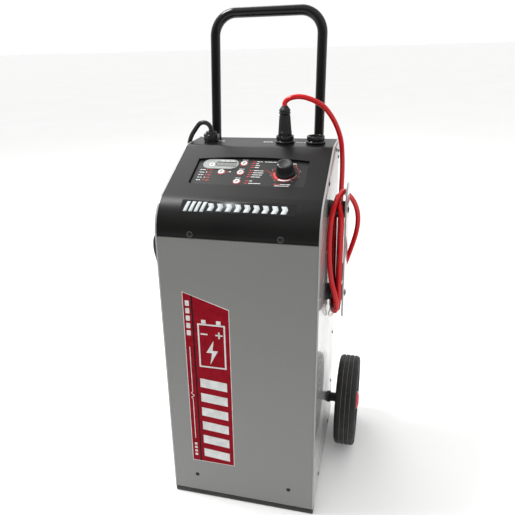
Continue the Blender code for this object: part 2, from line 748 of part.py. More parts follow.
ROUTE_STEP = 0.010
RED_RUN = (
    (0.0454, 0.2560, 0.7518), (0.0456, 0.2560, 0.7570), (0.0520, 0.2562, 0.7635), (0.0660, 0.2570, 0.7675),
    (0.0820, 0.2590, 0.7665), (0.1000, 0.2620, 0.7600), (0.1170, 0.2680, 0.7490), (0.1320, 0.2760, 0.7290),
    (0.1430, 0.2830, 0.7060), (0.1505, 0.2840, 0.6820), (0.1545, 0.2760, 0.6540), (0.1575, 0.2520, 0.6270),
    (0.1595, 0.2230, 0.6030), (0.1612, 0.1990, 0.5740), (0.1620, 0.1895, 0.5400),
)
RED_LOOP = (
    (0.1695, 0.1800, 0.6100), (0.1760, 0.1940, 0.6010), (0.1850, 0.2060, 0.5850), (0.1915, 0.2150, 0.5640),
    (0.1935, 0.2180, 0.5420), (0.1910, 0.2150, 0.5190), (0.1850, 0.2075, 0.4960), (0.1780, 0.1985, 0.4740),
    (0.1712, 0.1918, 0.4530), (0.1660, 0.1895, 0.4320),
)
RED_TAIL = ((0.1520, 0.1780, 0.3945), (0.1520, 0.1780, 0.3920), (0.1520, 0.1780, 0.3895))
MAINS_RUN = (
    (-0.1060, 0.2616, 0.7023), (-0.1060, 0.2616, 0.7040), (-0.1080, 0.2616, 0.7112),
    (-0.1135, 0.2616, 0.7167), (-0.1210, 0.2617, 0.7187), (-0.1285, 0.2618, 0.7167),
    (-0.1340, 0.2620, 0.7115), (-0.1410, 0.2624, 0.7030), (-0.1476, 0.2628, 0.6940),
    (-0.1526, 0.2622, 0.6830), (-0.1550, 0.2585, 0.6680), (-0.1580, 0.2500, 0.6400),
    (-0.1600, 0.2340, 0.6000), (-0.1610, 0.2190, 0.5600), (-0.1616, 0.2080, 0.5200),
    (-0.1614, 0.2010, 0.4850), (-0.1605, 0.1990, 0.4650),
)
MAINS_TAIL = ((-0.1680, 0.1880, 0.3265), (-0.1680, 0.1880, 0.3050), (-0.1680, 0.1880, 0.2800))


def make_leads():
    for name, route, radius, material in (
        ("red_lead_run", RED_RUN, RED_RADIUS, "red_rubber"),
        ("red_lead_loop", RED_LOOP, RED_RADIUS, "red_rubber"),
        ("red_lead_tail", RED_TAIL, RED_RADIUS, "red_rubber"),
        ("mains_cord_run", MAINS_RUN, MAINS_RADIUS, "black_rubber"),
        ("mains_cord_tail", MAINS_TAIL, MAINS_RADIUS, "black_rubber"),
    ):
        route = [place(*p) for p in route]
        tube(name, route[:1] + smooth_route(route[1:], ROUTE_STEP), radius, material)
    hank("red_lead_winding", 1, HANK_DEPTH, "red_rubber")
    hank("mains_cord_winding", -1, 2 * HANK_DEPTH, "black_rubber")
    make_lug()
    make_mains_plug()


def make_lug():
    """A ring terminal: a crimped barrel flattened into a ring, hanging from the red lead's end."""
    x, y, z = RED_TAIL[-1]
    hang = frame(place(x, y, z), (0.6, 0.8, 0), (0, 0, 1))
    ring = circle((0, -0.0290), 0.0085, 28)
    lug = extruded("lead_lug", [ring, circle((0, -0.0290), 0.0043, 20)], -0.001, 0.001, hang, "brass")
    neck = extruded("lug_neck", [rectangle((0, -0.0170), 0.0085, 0.0100)], -0.001, 0.001, hang, None, CUTTERS)
    join(lug, neck)
    barrel = cylinder("lug_barrel", 0.0050, 0.0003, 0.0145, frame(place(x, y, z), (1, 0, 0), (0, -1, 0)),
                      steps=20, collection=CUTTERS)
    join(lug, barrel)


def make_mains_plug():
    """A generic two-pin plug that hangs below the left winder."""
    x, y, z = MAINS_TAIL[-1]
    down = frame(place(x, y, z), (1, 0, 0), (0, -1, 0))
    body = [(0, 0.0003), (0.0062, 0.0003), (0.0078, 0.0150), (0.0125, 0.0230), (0.0155, 0.0300), (0.0155, 0.0500),
            (0.0140, 0.0520), (0, 0.0520)]
    plug = turned("mains_plug", body[::-1], down, "black_plastic", 24)
    for i, dx in enumerate((-0.0095, 0.0095)):
        pin = cylinder(f"plug_pin_{i}", 0.0024, 0.0480, 0.0710, down @ Matrix.Translation((dx, 0, 0)),
                       steps=12, collection=CUTTERS)
        join(plug, pin)


# Insides


def make_transformer():
    """A laminated core with a coil round its middle limb."""
    low_z, high_z = BODY_BASE_Z + SHEET + GAP, 0.166
    front, back, half = 0.085, 0.185, 0.080
    middle_z, middle_y = (low_z + high_z) / 2, (front + back) / 2
    window_half = (high_z - low_z) / 2 - 0.022
    windows = [rectangle((side * 0.0395, middle_z), 0.031, 2 * window_half) for side in (1, -1)]
    outline = rectangle((0, middle_z), 2 * half, high_z - low_z)
    extruded("transformer_core", [outline] + windows, -back, -front,
             frame(place(0, 0, 0), (1, 0, 0), (0, 0, 1)),
             "core_steel")
    coil_loops = [rounded(rectangle((0, middle_y), 0.107, 0.158), 0.010, 4),
                  rounded(rectangle((0, middle_y), 0.0488, back - front + 0.0014), 0.0005, 2)]
    extruded("transformer_coil", coil_loops, middle_z - window_half + 0.001, middle_z + window_half - 0.001,
             upright_frame(0, 0, 0), "copper_wire")


def make_fan_and_heatsink():
    """A fan on the rear panel that draws air through the rectifier's finned block."""
    back = REAR_PANEL_Y - SHEET - GAP
    at = back_frame(0, back, FAN_Z)
    square = rounded(rectangle((0, 0), FAN_SIZE, FAN_SIZE), 0.006, 3)
    fan_frame = extruded("fan_frame", [square, circle((0, 0), 0.0565, 40)], -FAN_DEPTH, 0, at, "black_plastic")
    boss = cylinder("fan_boss", 0.0200, -0.0060, -0.0010, at, steps=24, collection=CUTTERS)
    join(fan_frame, boss)
    join(fan_frame, cylinder("fan_pin", 0.0030, -0.0300, -0.0050, at, steps=AXLE_STEPS, collection=CUTTERS))
    for i in range(4):
        arm = extruded(f"fan_arm_{i}", [rectangle((0.038, 0), 0.042, 0.006)], -0.0055, -0.0015,
                       at @ Matrix.Rotation(math.radians(45 + 90 * i), 4, "Z"), None, CUTTERS)
        join(fan_frame, arm)
    hub = [(0.00308, -0.0070), (0.0190, -0.0070), (0.0210, -0.0100), (0.0210, -0.0330), (0.0190, -0.0350),
           (0.00308, -0.0350)]
    rotor = turned("fan_rotor", hub, at, "black_plastic", AXLE_STEPS, ring=True)
    for i in range(7):
        turn = Matrix.Rotation(math.tau * i / 7, 4, "Z") @ Matrix.Translation((0.0370, 0, -0.0205))
        blade_at = at @ turn @ Matrix.Rotation(math.radians(32), 4, "X")
        outline = rounded(rectangle((0, 0), 0.035, 0.024), 0.004, 3)
        blade = extruded(f"fan_blade_{i}", [outline], -0.0010, 0.0010,
                         blade_at, None, CUTTERS)
        join(rotor, blade)

    fins = 11
    base_y, fin_y, half, pitch = 0.158, 0.212, 0.055, 0.0105
    comb = [(-half, base_y), (half, base_y), (half, fin_y)]
    for i in range(fins - 1):
        right = half - 0.0035 - i * pitch
        comb += [(right, fin_y), (right, base_y + 0.008), (right - pitch + 0.0035, base_y + 0.008),
                 (right - pitch + 0.0035, fin_y)]
    comb.append((-half, fin_y))
    extruded("rectifier_heatsink", [comb], 0.265, 0.395, upright_frame(0, 0, 0), "aluminium")


def make_inner_cables():
    """The output cables, from the rectifier up to the two contacts."""
    for name, x, top_x, material in (
        ("positive_cable", 0.030, POSITIVE_X, "red_rubber"),
        ("negative_cable", 0.060, NEGATIVE_X, "black_rubber"),
    ):
        top_z = HOOD_TOP_Z - 0.022 - GAP
        route = [(x, 0.150, 0.380), (x, 0.150, 0.430), (x + 0.005, 0.165, 0.500),
                 (top_x - 0.005, 0.220, 0.570),
                 (top_x, SOCKET_Y - 0.004, 0.620), (top_x, SOCKET_Y, top_z)]
        tube(name, smooth_route([place(*p) for p in route], 0.016), 0.0045, material)


make_casing()
make_control_panel()
make_sockets()
make_plug()
make_gland()
make_handle()
make_wheels()
make_winders()
make_leads()
make_transformer()
make_fan_and_heatsink()
make_inner_cables()
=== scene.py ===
"""Looks, leads and lighting for the wheeled car battery charger. Metres, +Z up, in the CAD's own frame."""

import json
import math

import bmesh
import bpy
from mathutils import Matrix, Vector


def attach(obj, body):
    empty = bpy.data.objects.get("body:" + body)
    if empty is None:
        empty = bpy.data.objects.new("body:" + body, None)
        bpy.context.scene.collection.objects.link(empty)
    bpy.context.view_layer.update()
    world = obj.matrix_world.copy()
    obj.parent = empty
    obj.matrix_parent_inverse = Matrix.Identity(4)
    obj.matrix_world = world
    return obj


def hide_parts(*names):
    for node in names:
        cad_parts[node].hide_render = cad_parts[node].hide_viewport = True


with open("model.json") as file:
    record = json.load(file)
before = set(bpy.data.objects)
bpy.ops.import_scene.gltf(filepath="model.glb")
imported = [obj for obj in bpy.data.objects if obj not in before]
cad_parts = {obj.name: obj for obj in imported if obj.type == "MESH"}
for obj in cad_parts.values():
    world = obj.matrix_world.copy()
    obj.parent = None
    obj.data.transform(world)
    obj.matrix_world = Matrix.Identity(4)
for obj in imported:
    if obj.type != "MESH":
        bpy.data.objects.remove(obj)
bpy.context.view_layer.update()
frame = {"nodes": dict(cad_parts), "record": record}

MID_Y = 0.1713
BODY_HALF = 0.145
LEAN = math.radians(4.0)
SLOPE = math.radians(23.55)
NOSE_RADIUS = 0.075
HOOD_DROP = 0.0005
HOOD_TOP = 0.6825
FLOOR_N = -0.0045
SOCKET_Y = 0.256
POSITIVE_X, NEGATIVE_X = 0.0454, 0.105
GLAND_X, GLAND_Y = -0.106, 0.2616
REAR_Y = 0.306
WHEEL_Y = 0.2426
AXLE_Z = 0.1
WINDER_Y = 0.15
PLATE_IN, PLATE_OUT = 0.1755, 0.1785
POST_Z = (0.4225, 0.5875)
LEFT_DROP = 0.065
HANK_Z = (0.4196, 0.5807)
PRINT_LOW, PRINT_HIGH = 0.00002, 0.0001
FRONT_GLOW = 0.22


def place(x, y, z):
    """A world point from one whose Y counts back from the front foot."""
    return Vector((x, y - MID_Y, z))


def frame_at(origin, x_axis, y_axis):
    x_axis, y_axis = Vector(x_axis).normalized(), Vector(y_axis).normalized()
    axes = Matrix((x_axis, y_axis, x_axis.cross(y_axis))).transposed()
    return Matrix.Translation(origin) @ axes.to_4x4()


def outward(side, x, y, z):
    return frame_at(place(side * x, y, z), (0, side, 0), (0, 0, 1))


def winder_drop(side):
    """How much lower the left winder sits than the right one."""
    return LEFT_DROP if side < 0 else 0


def upright(x, y, z):
    return frame_at(place(x, y, z), (1, 0, 0), (0, 1, 0))


def back(x, y, z):
    return frame_at(place(x, y, z), (-1, 0, 0), (0, 0, 1))


FRONT = frame_at(place(0, 0, 0), (1, 0, 0), (0, math.sin(LEAN), math.cos(LEAN)))
# Where the nose ends and the slope begins, as Y and Z
SLOPE_START = (0.0840093, 0.6235105)
PANEL = frame_at(place(0, *SLOPE_START), (1, 0, 0), (0, math.cos(SLOPE), math.sin(SLOPE)))
FLOOR = PANEL @ Matrix.Translation((0, 0, FLOOR_N))
TOP = upright(0, 0, HOOD_TOP)


# Camera


def make_camera():
    yaw, pitch, roll = math.radians(-14.62), math.radians(23.67), math.radians(-1.94)
    ahead = Vector((math.sin(yaw) * math.cos(pitch), math.cos(yaw) * math.cos(pitch), -math.sin(pitch)))
    right = ahead.cross(Vector((0, 0, 1))).normalized()
    up = right.cross(ahead)
    turned_right = right * math.cos(roll) + up * math.sin(roll)
    turned_up = up * math.cos(roll) - right * math.sin(roll)
    data = bpy.data.cameras.new("camera")
    data.sensor_width = 36
    data.lens = 36 * 513.6 / 515
    camera = bpy.data.objects.new("camera", data)
    bpy.context.scene.collection.objects.link(camera)
    camera.matrix_world = frame_at(place(0.239, -0.728, 0.88), turned_right, turned_up)
    bpy.context.scene.camera = camera


# Materials: every one has its own colour variation, roughness and fine relief


def socket_set(node, **values):
    for key, value in values.items():
        node.inputs[key.replace("_", " ")].default_value = value


class Finish:
    """Builds a Principled material a layer at a time, all in object coordinates."""

    def __init__(self, name, colour, roughness, metallic=0.0, **more):
        self.material = bpy.data.materials.new(name)
        self.material.use_nodes = True
        self.tree = self.material.node_tree
        self.shader = self.tree.nodes["Principled BSDF"]
        self.colour, self.roughness = colour, roughness
        socket_set(self.shader, Base_Color=(*colour, 1), Roughness=roughness, Metallic=metallic, **more)
        self.place = self.tree.nodes.new("ShaderNodeTexCoord").outputs["Object"]
        self.normal = None
        self.mixed = None

    def noise(self, scale, detail=3.0, stretch=None, rough=0.55):
        node = self.tree.nodes.new("ShaderNodeTexNoise")
        socket_set(node, Scale=scale, Detail=detail, Roughness=rough)
        source = self.place
        if stretch:
            mapping = self.tree.nodes.new("ShaderNodeMapping")
            mapping.inputs["Scale"].default_value = stretch
            self.tree.links.new(source, mapping.inputs["Vector"])
            source = mapping.outputs["Vector"]
        self.tree.links.new(source, node.inputs["Vector"])
        return node.outputs["Fac"]

    def ramp(self, source, low, high, bottom=0.35, top=0.65):
        node = self.tree.nodes.new("ShaderNodeMapRange")
        socket_set(node, From_Min=bottom, From_Max=top, To_Min=low, To_Max=high)
        self.tree.links.new(source, node.inputs["Value"])
        return node.outputs["Result"]

    def tint(self, source, colour, low=0.0, high=1.0, bottom=0.35, top=0.65):
        """Mixes towards another colour where the source is high."""
        node = self.tree.nodes.new("ShaderNodeMix")
        node.data_type = "RGBA"
        factor = self.ramp(source, low, high, bottom, top)
        self.tree.links.new(factor, node.inputs["Factor"])
        if self.mixed:
            self.tree.links.new(self.mixed, node.inputs["A"])
        else:
            node.inputs["A"].default_value = (*self.colour, 1)
        node.inputs["B"].default_value = (*colour, 1)
        self.mixed = node.outputs["Result"]
        self.tree.links.new(self.mixed, self.shader.inputs["Base Color"])
        return self

    def rough(self, source, low, high, bottom=0.35, top=0.65):
        self.tree.links.new(self.ramp(source, low, high, bottom, top), self.shader.inputs["Roughness"])
        return self

    def relief(self, source, depth, strength=1.0):
        node = self.tree.nodes.new("ShaderNodeBump")
        socket_set(node, Strength=strength, Distance=depth)
        self.tree.links.new(source, node.inputs["Height"])
        if self.normal:
            self.tree.links.new(self.normal, node.inputs["Normal"])
        self.normal = node.outputs["Normal"]
        self.tree.links.new(self.normal, self.shader.inputs["Normal"])
        return self

    def height(self):
        parts = self.tree.nodes.new("ShaderNodeSeparateXYZ")
        self.tree.links.new(self.place, parts.inputs["Vector"])
        return parts.outputs["Z"]


def paint(name, colour, roughness=0.35, coat=0.0, peel=0.00006, speck=0.04, shine=0.5):
    finish = Finish(name, colour, roughness, Coat_Weight=coat, Coat_Roughness=0.06, Specular_IOR_Level=shine)
    lighter = tuple(min(1.0, c * (1 + speck * 2.2) + 0.002) for c in colour)
    finish.tint(finish.noise(9.0, 4), lighter, 0.0, 0.7)
    finish.tint(finish.noise(900.0, 1), lighter, 0.0, 0.55, 0.45, 0.7)
    finish.rough(finish.noise(6.0, 4), roughness * 0.9, roughness * 1.15)
    finish.relief(finish.noise(420.0, 2), peel, 0.35)
    return finish.material


def plastic(name, colour, roughness=0.4, grain=0.00005, scale=900.0, shine=0.5):
    finish = Finish(name, colour, roughness, Specular_IOR_Level=shine)
    lighter = tuple(min(1.0, c * 1.5 + 0.004) for c in colour)
    finish.tint(finish.noise(60.0, 4), lighter, 0.0, 0.5)
    finish.rough(finish.noise(25.0, 5), roughness * 0.85, roughness * 1.2)
    finish.relief(finish.noise(scale, 2), grain, 0.5)
    return finish.material


def metal(name, colour, roughness=0.3, stretch=(1, 1, 1), scale=600.0):
    finish = Finish(name, colour, roughness, 1.0)
    darker = tuple(c * 0.7 for c in colour)
    finish.tint(finish.noise(35.0, 5), darker, 0.0, 0.55)
    finish.rough(finish.noise(scale, 3, stretch), roughness * 0.75, roughness * 1.35)
    finish.relief(finish.noise(scale, 2, stretch), 0.00004, 0.4)
    return finish.material


def make_tyre_rubber():
    finish = Finish("tyre_rubber_look", (0.012, 0.012, 0.012), 0.6, Specular_IOR_Level=0.35)
    finish.tint(finish.noise(28.0, 6), (0.024, 0.024, 0.023), 0.0, 0.8, 0.45, 0.7)
    finish.tint(finish.noise(110.0, 4, (1.0, 0.5, 0.5)), (0.16, 0.15, 0.13), 0.0, 0.55, 0.66, 0.74)
    finish.rough(finish.noise(40.0, 4), 0.5, 0.75)
    finish.relief(finish.noise(500.0, 3), 0.00015, 0.5)
    return finish.material


def make_lead_rubber(name, colour, roughness, coat):
    finish = Finish(name, colour, roughness, Coat_Weight=coat, Coat_Roughness=0.14, Specular_IOR_Level=0.3)
    finish.tint(finish.noise(22.0, 4), tuple(c * 0.8 for c in colour), 0.0, 0.5)
    finish.rough(finish.noise(70.0, 4), roughness * 0.85, roughness * 1.25)
    finish.relief(finish.noise(260.0, 3), 0.00006, 0.3)
    return finish.material


def make_light_panel():
    """Smooth glossy light-grey lacquer that mirrors the leads and wheels."""
    finish = Finish("light_panel_look", (0.3, 0.305, 0.3), 0.24, Coat_Weight=0.45, Coat_Roughness=0.04)
    finish.tint(finish.noise(5.0, 4), (0.33, 0.335, 0.33), 0.0, 0.8)
    finish.tint(finish.noise(900.0, 1), (0.38, 0.38, 0.375), 0.0, 0.4, 0.5, 0.75)
    finish.rough(finish.noise(7.0, 4), 0.2, 0.3)
    finish.relief(finish.noise(120.0, 2), 0.00002, 0.3)
    return finish.material


def make_front_grey():
    """Mid-grey powder coat with painted shade: a touch darker towards the top, where less light climbs from
    the floor, and set darker than the side panels' lacquer, partly its own tone and partly painted shade of
    the front.
    """
    # Base grey partly painted shade: set darker than the side panels' light grey so the front reads as in
    # shade
    finish = Finish("grey_front_look", (0.158, 0.158, 0.148), 0.36, Coat_Weight=0.1, Coat_Roughness=0.1)
    # Painted shade: lighter towards the bottom, darker towards the top
    finish.tint(finish.height(), (0.216, 0.217, 0.213), 0.0, 1.0, 0.5, 0.05)
    finish.tint(finish.noise(2.2, 2, (1, 1, 2)), (0.2, 0.201, 0.194), 0.0, 0.3)
    finish.tint(finish.noise(900.0, 1), (0.212, 0.212, 0.205), 0.0, 0.35, 0.45, 0.7)
    finish.rough(finish.noise(6.0, 4), 0.32, 0.41)
    finish.relief(finish.noise(420.0, 2), 0.00005, 0.35)
    return finish.material


LOOKS = {
    "light_grey_paint": make_light_panel(),
    "mid_grey_paint": make_front_grey(),
    "charcoal_paint": paint("hood_look", (0.0042, 0.004, 0.0038), 0.34, 0.0, 0.00004, 0.2, 0.17),
    "recess_paint": paint("recess_look", (0.011, 0.0108, 0.0108), 0.42, 0.0, 0.00004, 0.15, 0.22),
    "gloss_black": paint("gloss_black_look", (0.003, 0.003, 0.003), 0.16, 0.0, 0.00003, 0.3, 0.32),
    "black_plastic": plastic("black_plastic_look", (0.007, 0.007, 0.0075), 0.25, shine=0.4),
    "satin_plastic": plastic("satin_plastic_look", (0.01, 0.01, 0.01), 0.42, 0.00008, 700.0, 0.35),
    "black_rubber": plastic("black_rubber_look", (0.014, 0.014, 0.014), 0.55, 0.0001, 500.0),
    "tyre_rubber": make_tyre_rubber(),
    "tyre_line": plastic("tyre_line_look", (0.17, 0.162, 0.14), 0.8, 0.0002, 300.0),
    "red_rubber": make_lead_rubber("red_lead_look", (0.62, 0.0015, 0.005), 0.22, 0.22),
    "mains_rubber": make_lead_rubber("mains_cord_look", (0.006, 0.006, 0.006), 0.42, 0.4),
    "red_plastic": plastic("red_cap_look", (0.6, 0.006, 0.01), 0.25),
    "white_plastic": plastic("white_key_look", (0.62, 0.61, 0.6), 0.42, shine=0.3),
    "silver_plastic": plastic("silver_bezel_look", (0.25, 0.265, 0.25), 0.34, shine=0.35),
    "dark_lens": plastic("display_lens_look", (0.13, 0.14, 0.12), 0.12, 0.00001),
    "steel": metal("zinc_look", (0.55, 0.55, 0.54), 0.3),
    "black_steel": metal("black_screw_look", (0.03, 0.03, 0.03), 0.35),
    "brass": metal("brass_look", (0.72, 0.52, 0.22), 0.25),
    "tinned": metal("tinned_lug_look", (0.62, 0.6, 0.52), 0.28),
    "plate_paint": paint("winder_plate_look", (0.24, 0.243, 0.24), 0.26, 0.7, 0.00002, 0.05),
    "screw_rim": plastic("screw_rim_look", (0.085, 0.085, 0.082), 0.3),
    "aluminium": metal("aluminium_look", (0.75, 0.75, 0.76), 0.35, (12, 1, 1)),
    "copper_wire": metal("copper_wire_look", (0.5, 0.16, 0.06), 0.35, (1, 1, 25), 200.0),
    "circuit_board": plastic("board_look", (0.01, 0.1, 0.035), 0.35),
    "core_steel": metal("core_look", (0.14, 0.14, 0.15), 0.55, (1, 60, 1), 60.0),
    "white_print": plastic("white_print_look", (0.74, 0.74, 0.72), 0.5),
    "red_print": plastic("red_print_look", (0.62, 0.02, 0.02), 0.5),
    "decal_red": plastic("decal_red_look", (0.225, 0.0022, 0.01), 0.45, 0.00002, shine=0.05),
    "decal_dark": plastic("decal_dark_look", (0.006, 0.005, 0.005), 0.45, 0.00002, shine=0.08),
    "decal_light": plastic("decal_light_look", (0.56, 0.57, 0.56), 0.38, 0.00002),
    "band_film": plastic("band_film_look", (0.008, 0.008, 0.008), 0.3, 0.00001, shine=0.25),
    "band_silver": plastic("band_silver_look", (0.5, 0.54, 0.55), 0.38, 0.00001, shine=0.3),
    "segment_dark": plastic("segment_dark_look", (0.025, 0.028, 0.024), 0.3),
    "inside_dark": plastic("inside_dark_look", (0.01, 0.01, 0.01), 0.7),
}


# Makers of pieces


def link(name, data, matrix, look, body="casing", smooth=None):
    piece = bpy.data.objects.new(name, data)
    piece.matrix_world = matrix
    bpy.context.scene.collection.objects.link(piece)
    data.materials.clear()
    data.materials.append(LOOKS[look])
    if smooth is not None:
        data.shade_smooth()
        data.set_sharp_from_angle(angle=math.radians(smooth))
    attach(piece, body)
    return piece


def from_bmesh(name, solid, matrix, look, body="casing", smooth=35):
    mesh = bpy.data.meshes.new(name)
    bmesh.ops.recalc_face_normals(solid, faces=solid.faces)
    solid.to_mesh(mesh)
    solid.free()
    return link(name, mesh, matrix, look, body, smooth)


def bevel(piece, width, segments=2, angle=30):
    modifier = piece.modifiers.new("edges", "BEVEL")
    modifier.width = width
    modifier.segments = segments
    modifier.limit_method = "ANGLE"
    modifier.angle_limit = math.radians(angle)
    modifier.harden_normals = True
    return piece


def refined(node, look, width, angle=32):
    """A piece with a CAD node's own shape, smooth where it is round and softened at its edges."""
    solid = bmesh.new()
    solid.from_mesh(frame["nodes"][node].data)
    bmesh.ops.remove_doubles(solid, verts=solid.verts, dist=2e-6)
    bmesh.ops.dissolve_limit(
        solid, angle_limit=math.radians(0.4), verts=solid.verts, edges=solid.edges, delimit={"NORMAL"},
    )
    piece = from_bmesh(node + "_piece", solid, Matrix(), look, smooth=28)
    if width:
        bevel(piece, width, 2, angle)
    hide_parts(node)
    return piece


def lathe(
    name, profile, matrix, look, body="casing", steps=72, radius=None, smooth=32, ring=False,
):
    """Turns a (radius, height) profile about local Z. radius(r, h, angle) may flute it."""
    solid = bmesh.new()
    rings = []
    for r, h in profile:
        if r < 1e-7:
            rings.append([solid.verts.new((0, 0, h))])
            continue
        points = []
        for i in range(steps):
            a = math.tau * i / steps
            reach = radius(r, h, a) if radius else r
            points.append(solid.verts.new((reach * math.cos(a), reach * math.sin(a), h)))
        rings.append(points)
    pairs = list(zip(rings, rings[1:]))
    if ring:
        pairs.append((rings[-1], rings[0]))
    for upper, lower in pairs:
        for i in range(steps):
            j = (i + 1) % steps
            corners = [upper[i % len(upper)], upper[j % len(upper)]]
            corners += [lower[j % len(lower)], lower[i % len(lower)]]
            distinct = [v for k, v in enumerate(corners) if v not in corners[:k]]
            if len(distinct) > 2:
                solid.faces.new(distinct)
    return from_bmesh(name, solid, matrix, look, body, smooth)


def plate(name, outlines, low, high, matrix, look, body="casing", soft=0.0):
    """Flat shapes from low to high along local Z, each outline a list of 2D points."""
    data = bpy.data.curves.new(name, "CURVE")
    data.dimensions = "2D"
    data.fill_mode = "BOTH"
    data.extrude = (high - low) / 2
    for outline in outlines:
        spline = data.splines.new("POLY")
        spline.points.add(len(outline) - 1)
        for point, (x, y) in zip(spline.points, outline):
            point.co = (x, y, 0, 1)
        spline.use_cyclic_u = True
    guide = bpy.data.objects.new(name + "_outline", data)
    bpy.context.scene.collection.objects.link(guide)
    graph = bpy.context.evaluated_depsgraph_get()
    mesh = bpy.data.meshes.new_from_object(guide.evaluated_get(graph))
    bpy.data.objects.remove(guide, do_unlink=True)
    solid = bmesh.new()
    solid.from_mesh(mesh)
    bmesh.ops.remove_doubles(solid, verts=solid.verts, dist=1e-6)
    bmesh.ops.translate(solid, verts=solid.verts, vec=(0, 0, (low + high) / 2))
    piece = from_bmesh(name, solid, matrix, look, body, 30)
    if soft:
        bevel(piece, soft)
    return piece


def circle(centre, radius, steps=32):
    angles = [math.tau * i / steps for i in range(steps)]
    return [(centre[0] + radius * math.cos(a), centre[1] + radius * math.sin(a)) for a in angles]


def slanted_oval(half_width, slant, half_height, steps):
    angles = [math.tau * i / steps for i in range(steps)]
    return [(half_width * math.cos(a) + slant * math.sin(a), half_height * math.sin(a)) for a in angles]


def arc(centre, radius, start, end, steps=16):
    angles = [math.radians(start + (end - start) * i / steps) for i in range(steps + 1)]
    return [(centre[0] + radius * math.cos(a), centre[1] + radius * math.sin(a)) for a in angles]


def band(centre, inner, outer, start, end):
    return arc(centre, outer, start, end, 20) + arc(centre, inner, end, start, 20)


def bar(x, y, width, height):
    return [(x, y), (x + width, y), (x + width, y + height), (x, y + height)]


def line(start, end, width):
    """A thin printed line between two points."""
    start, end = Vector(start), Vector(end)
    along = (end - start).normalized()
    across = Vector((-along.y, along.x)) * width / 2
    return [tuple(start + across), tuple(start - across), tuple(end - across), tuple(end + across)]


def slot_outline(x, y, width, height, steps=12):
    radius = min(width, height) / 2
    if height >= width:
        top = arc((x, y + height / 2 - radius), radius, 0, 180, steps)
        bottom = arc((x, y - height / 2 + radius), radius, 180, 360, steps)
        return top + bottom
    left = arc((x - width / 2 + radius, y), radius, 90, 270, steps)
    right = arc((x + width / 2 - radius, y), radius, -90, 90, steps)
    return left + right


def rounded_box(x, y, width, height, radius):
    half_w, half_h = width / 2 - radius, height / 2 - radius
    points = []
    for sx, sy, start in ((1, 1, 0), (-1, 1, 90), (-1, -1, 180), (1, -1, 270)):
        points += arc((x + sx * half_w, y + sy * half_h), radius, start, start + 90, 5)
    return points


def swept(points, radius, name, look, sides=6):
    """A round bar along world points."""
    data = bpy.data.curves.new(name, "CURVE")
    data.dimensions = "3D"
    data.bevel_depth = radius
    data.bevel_resolution = sides
    data.use_fill_caps = True
    spline = data.splines.new("POLY")
    spline.points.add(len(points) - 1)
    for point, co in zip(spline.points, points):
        point.co = (*co, 1)
    spline.use_smooth = True
    return link(name, data, Matrix(), look)


def smooth_route(points, spacing):
    """Points at an even spacing along a smooth curve through the given ones (centripetal Catmull-Rom)."""
    points = [Vector(p) for p in points]
    ends = [points[0] * 2 - points[1]] + points + [points[-1] * 2 - points[-2]]
    dense = []
    for p0, p1, p2, p3 in zip(ends, ends[1:], ends[2:], ends[3:]):
        t1 = (p1 - p0).length ** 0.5
        t2 = t1 + (p2 - p1).length ** 0.5
        t3 = t2 + (p3 - p2).length ** 0.5
        for i in range(24):
            t = t1 + (t2 - t1) * i / 24
            a1 = p0.lerp(p1, t / t1)
            a2 = p1.lerp(p2, (t - t1) / (t2 - t1))
            a3 = p2.lerp(p3, (t - t2) / (t3 - t2))
            b1 = a1.lerp(a2, t / t2)
            b2 = a2.lerp(a3, (t - t1) / (t3 - t1))
            dense.append(b1.lerp(b2, (t - t1) / (t2 - t1)))
    dense.append(points[-1])
    lengths = [0.0]
    for a, b in zip(dense, dense[1:]):
        lengths.append(lengths[-1] + (b - a).length)
    count = max(2, round(lengths[-1] / spacing))
    route = []
    index = 0
    for i in range(count + 1):
        wanted = lengths[-1] * i / count
        while index < len(dense) - 2 and lengths[index + 1] < wanted:
            index += 1
        span = lengths[index + 1] - lengths[index]
        route.append(dense[index].lerp(dense[index + 1], (wanted - lengths[index]) / span))
    return route, lengths[-1]


# Leads

RED_RADIUS = 0.0048
MAINS_RADIUS = 0.0045
FOLD = 0.0288

RED_RUN = (
    (0.0454, 0.2560, 0.7518), (0.0456, 0.2560, 0.7570), (0.0520, 0.2562, 0.7635), (0.0660, 0.2570, 0.7675),
    (0.0820, 0.2590, 0.7665), (0.1000, 0.2620, 0.7600), (0.1170, 0.2680, 0.7490), (0.1320, 0.2760, 0.7290),
    (0.1430, 0.2830, 0.7060), (0.1505, 0.2840, 0.6820), (0.1545, 0.2760, 0.6540), (0.1575, 0.2520, 0.6270),
    (0.1595, 0.2230, 0.6030), (0.1612, 0.1990, 0.5740), (0.1620, 0.1895, 0.5400),
)
RED_DOWN = ((0.1624, 0.1835, 0.5080), (0.1626, 0.1795, 0.4750), (0.1626, 0.1788, 0.4450))
RED_OUTER = (
    (0.1530, 0.1780, 0.4400), (0.1532, 0.1785, 0.4200), (0.1540, 0.1730, 0.4040), (0.1555, 0.1620, 0.3925),
    (0.1565, 0.1500, 0.3885), (0.1595, 0.1350, 0.3905), (0.1650, 0.1200, 0.3985), (0.1678, 0.1118, 0.4150),
    (0.1640, 0.1105, 0.4350), (0.1575, 0.1120, 0.4600), (0.1530, 0.1140, 0.4900), (0.1513, 0.1150, 0.5250),
    (0.1516, 0.1155, 0.5550), (0.1535, 0.1170, 0.5830), (0.1565, 0.1210, 0.6000), (0.1608, 0.1290, 0.6115),
    (0.1650, 0.1400, 0.6170), (0.1680, 0.1520, 0.6190), (0.1692, 0.1670, 0.6165),
)
RED_LOOP = (
    (0.1695, 0.1800, 0.6100), (0.1760, 0.1940, 0.6010), (0.1850, 0.2060, 0.5850), (0.1915, 0.2150, 0.5640),
    (0.1935, 0.2180, 0.5420), (0.1910, 0.2150, 0.5190), (0.1850, 0.2075, 0.4960), (0.1780, 0.1985, 0.4740),
    (0.1712, 0.1918, 0.4530), (0.1660, 0.1895, 0.4320),
)
